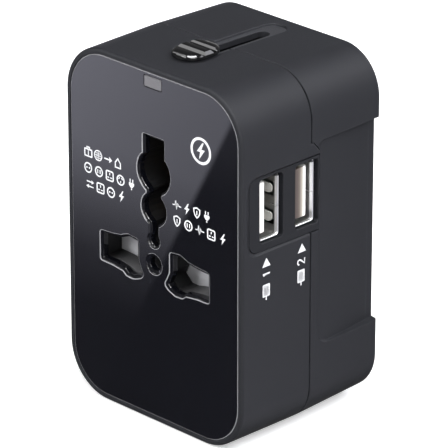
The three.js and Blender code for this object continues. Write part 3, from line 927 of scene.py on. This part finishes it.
def p_arrow(cx, cz):
    m_bar(cx - 0.25, cz, 1.5, G)
    mark("m", [(cx + 0.35, cz - 0.62), (cx + 1.2, cz), (cx + 0.35, cz + 0.62)])


def p_swap(cx, cz):
    for s in (-1, 1):
        m_bar(cx - s * 0.25, cz + s * 0.5, 1.4, 0.26)
        mark("m", [(cx + s * 0.4, cz + s * 0.5 - 0.42), (cx + s * 1.1, cz + s * 0.5), (cx + s * 0.4, cz + s * 0.5 + 0.42)][::s])


def p_bolt(cx, cz, h=2.4, w=1.0):
    pts = [(0.12, 0.5), (-0.30, -0.07), (-0.05, -0.07), (-0.13, -0.5), (0.30, 0.09), (0.04, 0.09), (0.22, 0.5)]
    mark("m", [(cx + x * h * w, cz + z * h) for x, z in pts])


def p_shield(cx, cz):
    o = [(cx, cz + 1.2), (cx - 0.95, cz + 0.85), (cx - 0.92, cz + 0.05), (cx - 0.6, cz - 0.65), (cx, cz - 1.2), (cx + 0.6, cz - 0.65), (cx + 0.92, cz + 0.05), (cx + 0.95, cz + 0.85)]
    mark("m", o, hole_in(o, 0.27))
    m_bar(cx, cz, 0.24, 0.9)


def p_wave(cx, cz):
    m_line([(cx - 1.15, cz - 0.1), (cx - 0.62, cz - 0.1), (cx - 0.36, cz + 0.95), (cx - 0.05, cz - 0.95), (cx + 0.25, cz + 0.45), (cx + 0.48, cz - 0.1), (cx + 1.15, cz - 0.1)], 0.26)


def p_house(cx, cz):
    o = [(cx - 0.85, cz - 1.1), (cx + 0.85, cz - 1.1), (cx + 0.85, cz + 0.1), (cx, cz + 1.15), (cx - 0.85, cz + 0.1)]
    mark("m", o, hole_in(o, 0.27))


def row(x0, z, items, pitch):
    for i, p in enumerate(items):
        p(x0 + 1.12 + i * pitch, z)


row(-19.3, 52.2, [p_case, p_globe, p_arrow, p_house], 2.78)
row(-19.4, 48.85, [p_two_dots, p_two_bars, p_three_bars, p_slant_bars, p_plug], 3.05)
row(-18.9, 45.45, [p_swap, p_three_bars, p_two_dots, p_bolt], 2.95)
row(5.35, 48.3, [p_wave, p_bolt, p_shield, p_plug], 2.7)
row(5.35, 44.95, [p_shield, p_two_bars, p_wave, p_three_bars, p_bolt], 3.1)
mark("m", circle(13.0, 61.4, 2.75, 40), [circle(13.0, 61.4, 2.2, 40)])
p_bolt(13.0, 61.4, 3.5)
panel_marks = join_objs(prints, "panel_printed_marks")
panel_marks["angle"] = 30
put(panel_marks, "base", slot="tongue_plastic")

prints = []
for yc in (6.55, 16.3):
    mark("m", [(yc - 1.1, 39.0), (yc + 1.1, 39.0), (yc, 40.8)][::1], kind="right")
# digit 1 and digit 2, turned to read upwards, and a plain connector pictogram below each
one = [(0.0, 0.62), (0.42, 1.02), (0.42, -1.02)]
two = [(-0.55, 0.55), (-0.38, 0.88), (0.0, 1.02), (0.38, 0.88), (0.52, 0.52), (0.40, 0.12), (-0.55, -1.0), (0.62, -1.0)]
for yc, zc, shape in ((6.55, 37.1, one), (16.1, 37.0, two)):
    turned = [(yc - b * 0.95, zc + a * 0.95) for a, b in shape]
    mark("m", stroke(turned, 0.30), kind="right")
    o = rrect(yc, 34.0, 1.95, 2.6, 0.2, 3)
    mark("m", o, [offset(ccw(o), 0.26)], kind="right")
    mark("m", rrect(yc, 32.35, 0.28, 0.7, 0.08, 2), kind="right")
    for s in (-1, 1):
        mark("m", rrect(yc + s * 0.36, 34.35, 0.26, 0.75, 0.06, 2), kind="right")
side_marks = join_objs(prints, "port_printed_marks")
side_marks["angle"] = 30
put(side_marks, "base", slot="tongue_plastic")

# ------------------------------------------------------------------ USB bezel, ports and tongues
USBY = [5.42, 15.0]
UW, UZ0, UZ1 = 5.3, 44.0, 56.7
BZ = fillet([(2.4, 42.3), (21.3, 42.3), (21.3, 57.68), (2.4, 57.68)], [2.0, 0.15, 0.15, 2.0], 8)
wells = [rrect(y + UW / 2 + 0.24, (UZ0 + UZ1) / 2 + 0.12, UW + 0.98, UZ1 - UZ0 + 0.66, 0.85, 5) for y in USBY]


def bezel_warp(x, y, z):
    """The plate lies deeper at its front edge than at the split."""
    t = max(0.0, min(1.0, (y - 2.4) / 18.9))
    low = max(0.0, min(1.0, (46.0 - z) / 3.7))
    return (x - 24.0 + half_w(min(max(y, 0), BACK)) + 0.22 * t + 0.16 * low, y, z)


bezel = slab("usb_bezel_plate", BZ, wells, soft(24 - 1.95, 24 - 0.505, 0.12, 3, low=False), "right", CASE_DARK, 32, warp=bezel_warp)
put(bezel, "base", "usb_bezel", slot="case_plastic")

for i, y in enumerate(USBY):
    cy, cz = y + UW / 2, (UZ0 + UZ1) / 2
    out = rrect(cy, cz, UW, UZ1 - UZ0, 0.7, 6)
    inn = rrect(cy, cz, UW - 0.66, UZ1 - UZ0 - 0.66, 0.42, 6)
    v, f = prism(out, [inn], [(13.8, 0.0), (22.25, 0.0), (22.5, 0.0), (22.75, 0.0), (23.0, 0.0), (23.12, 0.03), (23.18, 0.08), (23.2, 0.13)])
    flare = lambda a, b, c: (a, b + 0.17 * max(0.0, min(1.0, (a - 22.3) / 0.7)) * max(0.0, min(1.0, (b - cy - UW / 2 + 0.75) / 0.4)), c)
    shell = obj_from(f"usb_port_shell_{i + 1}", [flare(*q) for q in swap(v, "right")], f, USBSTEEL, 24)
    cuts = []
    for zc in (cz + 2.95, cz - 2.95):
        for yy in ((y + UW - 0.6, y - 0.3) if i == 0 else (y - 0.3,)):
            o = fillet([(22.35, zc - 1.6), (22.35, zc + 1.6), (17.6, zc + 1.6), (17.6, zc - 1.6)], 0.5, 4)
            v, f = prism(o, [], [(yy, 0), (yy + 0.9, 0)])
            cuts.append(obj_from("cut", [(u, h, z) for u, z, h in v], f, USBSTEEL))
    # lead-in: the near and upper lips stand back, the far lip has a folded joint
    for c in ((22.5, 24, y - 1, y + 0.9, UZ0 + 0.5, UZ1 + 1), (22.6, 24, y - 1, y + UW - 0.75, UZ1 - 0.6, UZ1 + 1), (21.2, 24, y + UW - 1, y + UW + 1, cz - 0.36, cz - 0.26)):
        v, f = prism([(c[2], c[4]), (c[3], c[4]), (c[3], c[5]), (c[2], c[5])], [], [(c[0], 0), (c[1], 0)])
        cuts.append(obj_from("cut", swap(v, "right"), f, USBSTEEL))
    shell = boolean(shell, cuts)
    shell["angle"] = 32
    # painted shade: the inner faces and the near lip get a darker steel, the upper wall a near-black one
    shell.data.materials.append(INNER_STEEL_PAINTED_SHADE)
    shell.data.materials.append(TOP_STEEL_PAINTED_SHADE)
    for poly in shell.data.polygons:
        c = poly.center / MM
        if c.x < 22.45 or c.z > UZ1 - 0.42 or c.y < y + Y0 + 0.42:
            poly.material_index = 2 if c.z > UZ1 - 0.42 else 1
    put(shell, "base", f"usb_shell_{i + 1}", slot="usb_steel")
    tabs = []
    for zc in (cz + 2.95, cz - 2.95):
        for s in ((1, -1) if i == 0 else (-1,)):
            o = fillet([(21.75, zc - 1.0), (21.75, zc + 1.0), (17.3, zc + 1.0), (17.3, zc - 1.0)], [0.75, 0.75, 0.06, 0.06], 5)
            v, f = prism(o, [], [(0, 0.04), (0.05, 0), (0.22, 0), (0.27, 0.04)])
            wall = y + UW - 0.30 if s > 0 else y + 0.30
            vv = []
            for u, z, h in v:
                bend = 0.35 * math.sin(math.pi * max(0.0, min(1.0, (u - 17.6) / 4.3))) ** 1.2
                vv.append((u, wall - s * bend + s * h, z))
            tabs.append(obj_from("t", vv, f, TABSTEEL))
    tb = join_objs(tabs, f"usb_spring_tabs_{i + 1}")
    tb["angle"] = 40
    put(tb, "base", slot="usb_steel")
    # insulating tongue with a rounded nose on a block at the back of the port
    v, f = prism(rrect(cy, cz, UW - 1.0, UZ1 - UZ0 - 1.0, 0.35, 4), [], [(14.0, 0), (16.0, 0)])
    block = obj_from("b", swap(v, "right"), f, TONGUE if i == 0 else TONGUE_PAINTED_SHADE)
    t0, t1 = (y + 0.34, y + 2.05) if i == 0 else (y + 0.34, y + 4.05)
    nose = [0.3, 0.28, 0.62, 0.3] if i == 0 else [0.3, 0.5, 1.0, 0.3]
    o = fillet([(15.3, t0), (22.95, t0), (22.95, t1), (15.3, t1)], nose, 6)
    v, f = prism(o, [], soft(UZ0 + 1.55, UZ1 - 0.78, 0.2, 3))
    tongue = obj_from(f"usb_tongue_part_{i + 1}", [(u, w, h) for u, w, h in v], f, TONGUE if i == 0 else TONGUE_PAINTED_SHADE, 35)
    tongue = boolean(tongue, [block], "UNION")
    put(tongue, "base", f"usb_tongue_{i + 1}", slot="tongue_plastic")
    strips = []
    for k in range(4):
        zc = cz + (-3.5, -1.0, 1.0, 3.5)[k]
        o = fillet([(16.2, zc - 0.5), (21.6, zc - 0.5), (21.6, zc + 0.5), (16.2, zc + 0.5)], 0.12, 2)
        v, f = prism(o, [], [(t1 - 0.1, 0), (t1 + 0.1, 0), (t1 + 0.14, 0.04)])
        strips.append(obj_from("s", [(u, h, z) for u, z, h in v], f, GOLD))
    st = join_objs(strips, f"usb_contact_strips_{i + 1}")
    st["angle"] = 30
    put(st, "base", slot="contact_brass")


# ------------------------------------------------------------------ slider knobs
def knob_object(name, kind, zc=0.0):
    """Glossy oval with three rounded ribs across it and a stem, drawn flat, then placed on the roof or the left wall."""
    body = prism(rrect(0, 0.25, 7.7, 9.9, 3.8, 16), [], [(-0.18, 0.35), (-0.02, 0.08), (0.08, 0.0), (0.56, 0.0), (0.66, 0.03), (0.78, 0.12), (1.00, 0.34), (1.22, 0.60), (1.34, 0.80), (1.42, 1.04), (1.46, 1.4)])
    # everything above the three convex lands and the hollows between them
    lands = [(-2.75, 1.42), (0.35, 1.10), (3.25, 0.95)]
    line = []
    for k in range(-64, 65):
        yy = k * 0.1
        h = 0.66
        for yc, half in lands:
            t = abs(yy - yc) / half
            if t < 1:
                h = max(h, 0.66 + 0.82 * (1 - t ** 2.4) ** 0.85)
        if yy > 4.3:
            h = max(h, 0.66 + 0.35 * min(1.0, (yy - 4.3) / 0.3))
        line.append((yy, h))
    o = [(6.4, 3.0)] + [(-6.4, 3.0)] + line
    v, f = prism(o, [], [(-6, 0), (6, 0)])
    cuts = [([(c, a, b) for a, b, c in v], f)]
    stem = prism(rrect(0, 0, 2.4, 4.0, 0.4, 3), [], [(-2.6, 0), (0.3, 0)])

    def place(v):
        out = []
        for u, w, h in v:
            if kind == "top":
                out.append((u + OFF_X, KNOB_Y + w, 74.92 + h))
            else:
                out.append((-24.55 - 1.18 * h, KNOB_Y + w, zc + u))
        return out

    o = obj_from("k", place(body[0]), body[1], KNOB, 40)
    o = boolean(o, [obj_from("c", place(v), f, KNOB) for v, f in cuts])
    o = boolean(o, [obj_from("c", place(stem[0]), stem[1], KNOB)], "UNION")
    o.name = o.data.name = name
    o["angle"] = 34
    return o


put(knob_object("roof_slider_knob", "top"), "us_au_slider", "us_au_knob", slot="knob_gloss")
put(knob_object("upper_side_slider_knob", "left", UK_Z), "uk_slider", "uk_knob", slot="knob_gloss")
put(knob_object("lower_side_slider_knob", "left", EU_Z), "eu_slider", "eu_knob", slot="knob_gloss")

# ------------------------------------------------------------------ plug pins
TIP = 38.1
for side, s in (("left", -1), ("right", 1)):
    x = s * 6.35
    o = fillet([(19.8, 45.3 - 3.175), (TIP, 45.3 - 3.175), (TIP, 45.3 + 3.175), (19.8, 45.3 + 3.175)], [0.25, 1.5, 1.5, 0.25], 8)
    hole = circle(TIP - 4.1, 45.3, 1.55, 28)
    v, f = prism(o, [hole], soft(x - 0.75, x + 0.75, 0.16, 3))
    blade = obj_from(f"us_au_blade_{side}_part", swap(v, "right"), f, NICKEL, 35)
    v, f = prism(circle(x, 45.3, 3.98, 64), [], [(19.1, 0.1), (19.2, 0), (20.6, 0), (20.9, 0.25)])
    disc = obj_from("d", swap(v, "back"), f, NICKEL)
    v, f = prism(circle(x, 45.3, 1.2, 24), [], [(16.2, 0.1), (16.3, 0), (19.4, 0)])
    shaft = obj_from("d", swap(v, "back"), f, NICKEL)
    blade = boolean(blade, [disc, shaft], "UNION")
    put(blade, f"us_au_{side}_blade", f"us_au_blade_{side}", slot="pin_nickel")

for nm, x, z, w, h, sleeve in (("live", -11.1, 34, 6.35, 4, True), ("neutral", 11.1, 34, 6.35, 4, True), ("earth", 0, UK_Z, 4, 8, False)):
    o = rrect(x, z, w, h, 0.45, 4)
    rr_ = [(16.2, 0.15), (16.35, 0)]
    if sleeve:
        rr_ += [(19.3, 0), (19.3, 0.35), (28.6, 0.35), (28.6, 0)]
    rr_ += [(36.6, 0), (37.4, 0.22), (37.9, 0.62), (TIP, 1.0)]
    v, f = prism(o, [], rr_)
    pin = obj_from(f"uk_{nm}_pin_part", swap(v, "back"), f, BRASS, 30)
    put(pin, "uk_slider", f"uk_{nm}_pin", slot="contact_brass")
    if sleeve:
        v, f = prism(rrect(x, z, w, h, 0.45, 4), [offset(ccw(rrect(x, z, w, h, 0.45, 4)), 0.3)], [(19.35, 0.0), (28.45, 0.0), (28.55, 0.04)])
        sl = obj_from(f"uk_{nm}_pin_sleeve", swap(v, "back"), f, SLEEVE, 30)
        put(sl, "uk_slider", slot="inner_plastic")

for side, s in (("left", -1), ("right", 1)):
    x = s * 9.5
    ringsp = [(16.2, 0.2), (16.4, 0), (19.3, 0), (19.3, 0.3), (29.4, 0.3), (29.4, 0), (36.4, 0), (36.9, 0.08), (37.4, 0.33), (37.8, 0.75), (38.02, 1.2), (TIP, 1.7)]
    v, f = prism(circle(x, 20, 1.99, 40), [], ringsp)
    pin = obj_from(f"eu_{side}_pin_part", swap(v, "back"), f, NICKEL, 35)
    put(pin, "eu_slider", f"eu_pin_{side}", slot="pin_nickel")
    v, f = prism(circle(x, 20, 1.93, 40), [circle(x, 20, 1.72, 40)], [(19.35, 0.0), (29.2, 0.0), (29.33, 0.05)])
    sl = obj_from(f"eu_{side}_pin_sleeve", swap(v, "back"), f, SLEEVE, 30)
    put(sl, "eu_slider", slot="inner_plastic")

# ------------------------------------------------------------------ case screws
for i, (x, z) in enumerate(SCREWS):
    v, f = prism(circle(x, z, 2.0, 36), [], [(37.0, 0.1), (37.08, 0), (37.5, 0), (37.75, 0.14), (37.95, 0.45), (38.08, 1.0)])
    head = obj_from(f"case_screw_part_{i + 1}", swap(v, "back"), f, ZINC, 30)
    v, f = prism(circle(x, z, 1.0, 20), [], [(8.0, 0.5), (8.8, 0), (37.2, 0)])
    shank = obj_from("s", swap(v, "back"), f, ZINC)
    head = boolean(head, [shank], "UNION")
    cross = []
    for w, h in ((2.2, 0.5), (0.5, 2.2)):
        v, f = prism(rrect(x, z, w, h, 0.16, 3), [], [(37.35, 0.09), (38.5, -0.06)])
        cross.append(obj_from("c", swap(v, "back"), f, ZINC))
    head = boolean(head, cross)
    head["angle"] = 32
    put(head, "base", f"case_screw_{i + 1}", slot="screw_steel")

# ------------------------------------------------------------------ inner parts keep their CAD shapes
# ------------------------------------------------------------------ return spring of the shutter
def coil(cx, cy, r, wire, z0, z1, turns, seg=30, ring=10):
    """Round-wire compression spring whose end coils lie flat."""
    n = turns * seg
    verts, faces = [], []
    def at(t):
        k = t * turns
        e = 0.8
        if k < e:
            h = 0.12 * k / e
        elif k > turns - e:
            h = 1 - 0.12 * (turns - k) / e
        else:
            h = 0.12 + 0.76 * (k - e) / (turns - 2 * e)
        a = 2 * math.pi * k
        return Vector((cx + r * math.cos(a), cy + r * math.sin(a), z0 + (z1 - z0) * (0.5 * h + 0.5 * t)))
    for i in range(n + 1):
        t = i / n
        c = at(t)
        d = (at(min(1, t + 0.002)) - at(max(0, t - 0.002))).normalized()
        out = Vector((c.x - cx, c.y - cy, 0)).normalized()
        up = d.cross(out).normalized()
        for k in range(ring):
            a = 2 * math.pi * k / ring
            q = c + (out * math.cos(a) + up * math.sin(a)) * wire
            verts.append((q.x, q.y, q.z))
    for i in range(n):
        for k in range(ring):
            a, b = i * ring + k, i * ring + (k + 1) % ring
            faces.append((a, a + ring, b + ring, b))
    faces.append(tuple(range(ring)))
    faces.append(tuple(n * ring + k for k in range(ring))[::-1])
    return verts, faces


v, f = coil(0, 7.6, 0.95, 0.18, 12.34, 28.66, 7)
spring = put(obj_from("shutter_return_spring", v, f, ZINC, 40), "base", "shutter_spring", slot="screw_steel")
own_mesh(spring)

KEEP = {
    "socket_core": CORE_PAINTED_LIGHT, "live_contact": BRASS, "neutral_contact": BRASS, "earth_contact": BRASS, "live_rail": BRASS, "neutral_rail": BRASS,
    "safety_shutter": SHUT, "indicator_board": BOARD, "usb_board": BOARD, "power_board": BOARD, "indicator_led": LED,
    "transformer": TAPE, "storage_capacitor": CAPS, "surge_varistor": VARI, "mains_fuse": CERAMIC,
    "us_au_carriage": CREAM, "uk_carriage": CREAM, "eu_carriage": CREAM,
}
for name, mat in KEEP.items():
    o = N[name]
    if not o.material_slots:
        o.data.materials.append(mat)
    for s_ in o.material_slots:
        s_.link = "OBJECT"
        s_.material = mat
    bv = o.modifiers.new("edge", "BEVEL")
    bv.width = 0.00012
    bv.segments = 2
    bv.limit_method = "ANGLE"
    bv.angle_limit = math.radians(50)

# ------------------------------------------------------------------ floor, light and camera
me = bpy.data.meshes.new("floor")
me.from_pydata([(-4, -4, 0), (4, -4, 0), (4, 4, 0), (-4, 4, 0)], [], [(0, 1, 2, 3)])
floor = bpy.data.objects.new("floor", me)
bpy.context.scene.collection.objects.link(floor)
fm, fnt, fb = new_mat("pale_floor")
fv = coords(fnt)
fnt.links.new(mix_col(fnt, noise(fnt, fv, 6, 3), (0.93, 0.93, 0.93), (0.96, 0.96, 0.96)), fb.inputs["Base Color"])
fb.inputs["Roughness"].default_value = 0.85
fb.inputs["Emission Color"].default_value = (1, 1, 1, 1)
fb.inputs["Emission Strength"].default_value = 0.40
me.materials.append(fm)
floor.location.z = -0.0003
floor.visible_glossy = False

# softbox card, seen only in reflections
def card(name, corners, build):
    me = bpy.data.meshes.new(name)
    me.from_pydata(corners, [], [tuple(range(k, k + 4)) for k in range(0, len(corners), 4)])
    o = bpy.data.objects.new(name, me)
    bpy.context.scene.collection.objects.link(o)
    m = bpy.data.materials.new(name)
    m.use_nodes = True
    nt = m.node_tree
    nt.nodes.clear()
    out = nt.nodes.new("ShaderNodeOutputMaterial")
    em = nt.nodes.new("ShaderNodeEmission")
    nt.links.new(em.outputs[0], out.inputs[0])
    nt.links.new(build(nt), em.inputs["Strength"])
    em.inputs["Color"].default_value = (0.97, 0.97, 1.13, 1) if name == "front_card" else (1, 1, 1.02, 1) if name == "crown_card" else (0.98, 0.98, 1.10, 1)
    me.materials.append(m)
    o.visible_camera = False
    o.visible_diffuse = False
    o.visible_shadow = False
    o.visible_transmission = False
    return o


CH = 0.0006   # height of the card over the floor


def panel_card(nt):
    """Gradient card in front of the socket face: bright far off, dark close in, cut by one slanted edge."""
    tc = nt.nodes.new("ShaderNodeTexCoord")
    sep = nt.nodes.new("ShaderNodeSeparateXYZ")
    nt.links.new(tc.outputs["Object"], sep.inputs[0])
    # height on the panel that mirrors this spot of the card, and its place across the panel, in mm
    z = math_node(nt, "ADD", math_node(nt, "MULTIPLY", math_node(nt, "ADD", sep.outputs[1], 0.01905), -1000 / 1.633), CH * 1000)
    ramp = nt.nodes.new("ShaderNodeValToRGB")
    nt.links.new(math_node(nt, "DIVIDE", z, 75.0), ramp.inputs[0])
    stops = [(0.0, 0.17), (0.12, 0.13), (0.25, 0.145), (0.40, 0.39), (0.50, 0.86), (0.62, 1.56), (0.75, 2.16), (1.0, 2.32)]
    els = ramp.color_ramp.elements
    els[0].position, els[1].position = stops[0][0], stops[-1][0]
    for p, s in stops[1:-1]:
        els.new(p)
    for e, (p, s) in zip(els, stops):
        e.color = (s / 2.4,) * 3 + (1,)
    left = math_node(nt, "MULTIPLY", ramp.outputs[0], 2.4)
    # slanted edge through two spots of the floor, in mm
    line = math_node(nt, "ADD", math_node(nt, "MULTIPLY", sep.outputs[1], 683.2), -71.5 + 99.5 * 0.6832)
    edge = math_node(nt, "SUBTRACT", math_node(nt, "MULTIPLY", sep.outputs[0], 1000), line)
    k = remap(nt, edge, 0.0, 1.0, -0.6, 1.2)
    left = math_node(nt, "MULTIPLY", left, remap(nt, edge, 1.0, 0.66, -60, 0))
    dark = remap(nt, z, 0.08, 0.27, 54, 74)
    return math_node(nt, "ADD", math_node(nt, "MULTIPLY", left, math_node(nt, "SUBTRACT", 1.0, k)), math_node(nt, "MULTIPLY", dark, k))


card("front_card", [(-0.22, -0.0195, CH), (0.06, -0.0195, CH), (0.06, -0.16, CH), (-0.22, -0.16, CH)], panel_card)


def side_card(nt):
    """Even light over the floor to the right, as the pale floor would mirror it."""
    tc = nt.nodes.new("ShaderNodeTexCoord")
    sep = nt.nodes.new("ShaderNodeSeparateXYZ")
    nt.links.new(tc.outputs["Object"], sep.inputs[0])
    base = remap(nt, noise(nt, tc.outputs["Object"], 3.0, 1), SIDE_LIGHT * 0.95, SIDE_LIGHT * 1.05)
    off = math_node(nt, "SUBTRACT", sep.outputs[1], math_node(nt, "MULTIPLY", sep.outputs[0], 1.5))
    return math_node(nt, "MULTIPLY", base, remap(nt, off, 1.0, 0.12, -0.05, 0.03))


SIDE_LIGHT = 0.88
card("side_card", [(0.0255, -0.019, CH), (0.9, -0.019, CH), (0.9, 0.9, CH), (0.0255, 0.9, CH), (0.0605, -0.9, CH), (0.9, -0.9, CH), (0.9, -0.019, CH), (0.0605, -0.019, CH)], side_card)


def area(name, loc, target, size, power, color=(1, 1, 1)):
    l = bpy.data.lights.new(name, "AREA")
    l.shape = "RECTANGLE"
    l.size, l.size_y = size
    l.energy = power
    l.color = color
    o = bpy.data.objects.new(name, l)
    o.location = loc
    o.rotation_mode = "QUATERNION"
    o.rotation_quaternion = (Vector(target) - Vector(loc)).to_track_quat("-Z", "Y")
    bpy.context.scene.collection.objects.link(o)
    return o


area("key", (0.32, -0.32, 1.06), (0, 0, 0.04), (0.55, 0.55), 3.0)
area("rear_strip", (0.86, 1.02, 1.10), (0, 0, 0.06), (2.1, 0.9), 31.0, (0.98, 0.98, 1.04))
corner = area("corner", (0.17, -0.12, 0.24), (0.022, -0.01, 0.06), (0.16, 0.16), 0.70)
corner.visible_camera = False
area("right_front", (1.0, -0.75, 0.55), (0, 0, 0.04), (0.5, 0.7), 3.0)
area("left_front", (-0.9, -0.9, 0.8), (0, 0, 0.04), (0.75, 0.75), 8.0)
area("front_fill", (-0.30, -1.0, 0.62), (0, 0, 0.035), (0.35, 0.35), 7.0)


def left_card(nt):
    """Pale floor beyond the left wall, mirrored at a grazing angle by the front rim."""
    tc = nt.nodes.new("ShaderNodeTexCoord")
    return remap(nt, noise(nt, tc.outputs["Object"], 3.0, 1), 1.15, 1.3)


card("left_card", [(-0.9, 0.0, CH), (-0.0275, 0.0, CH), (-0.0275, 0.9, CH), (-0.9, 0.9, CH)], left_card)


def crown_card(nt):
    """Bright overhead ring that only glossy surfaces see, for the long glints on the knobs."""
    tc = nt.nodes.new("ShaderNodeTexCoord")
    n = noise(nt, tc.outputs["Object"], 3.0, 1)
    return remap(nt, n, CROWN * 0.95, CROWN * 1.05)


CROWN = 34.0
ring = []
for k in range(10):
    a0, a1 = math.radians(-95 + 10 * k), math.radians(-95 + 10 * (k + 1))
    for a, e in ((a0, 61), (a1, 61), (a1, 70), (a0, 70)):
        e = math.radians(e)
        ring.append((1.1 * math.cos(a) * math.cos(e), 1.1 * math.sin(a) * math.cos(e), 0.05 + 1.1 * math.sin(e)))
card("crown_card", ring, crown_card)

world = bpy.data.worlds.new("studio")
bpy.context.scene.world = world
world.use_nodes = True
bg = world.node_tree.nodes.get("Background") or world.node_tree.nodes.new("ShaderNodeBackground")
bg.inputs[0].default_value = (1, 1, 1, 1)
bg.inputs[1].default_value = 0.18

# white studio dome behind everything, a backdrop only
bm = bmesh.new()
bmesh.ops.create_icosphere(bm, subdivisions=4, radius=3.6)
me = bpy.data.meshes.new("backdrop")
bm.to_mesh(me)
bm.free()
dome = bpy.data.objects.new("backdrop", me)
bpy.context.scene.collection.objects.link(dome)
dm = bpy.data.materials.new("backdrop_white")
dm.use_nodes = True
dm.node_tree.nodes.clear()
dout = dm.node_tree.nodes.new("ShaderNodeOutputMaterial")
dem = dm.node_tree.nodes.new("ShaderNodeEmission")
dem.inputs["Color"].default_value = (1, 1, 1, 1)
dem.inputs["Strength"].default_value = 1.05
dm.node_tree.links.new(dem.outputs[0], dout.inputs[0])
me.materials.append(dm)
dome.visible_diffuse = dome.visible_glossy = dome.visible_transmission = dome.visible_shadow = False

vs = bpy.context.scene.view_settings
vs.view_transform = "Standard"
vs.look = "None"

AZ, EL, FPX, DIST = 44.9049, 23.445, 4036.5, 0.79398
a, e = math.radians(AZ), math.radians(EL)
back = Vector((math.sin(a) * math.cos(e), -math.cos(a) * math.cos(e), math.sin(e)))
right = Vector((math.cos(a), math.sin(a), 0))
up = back.cross(right)
cam_data = bpy.data.cameras.new("camera")
cam_data.sensor_width = 36
cam_data.lens = FPX * 36 / 448
cam_data.clip_start, cam_data.clip_end = 0.01, 20
cam = bpy.data.objects.new("camera", cam_data)
bpy.context.scene.collection.objects.link(cam)
px = DIST / FPX
cam.location = Vector((0, 0, 0.03735)) + back * DIST + right * (0.65 * px) + up * (-3.8 * px)
cam.rotation_mode = "QUATERNION"
cam.rotation_quaternion = (-back).to_track_quat("-Z", "Y")
bpy.context.scene.camera = cam
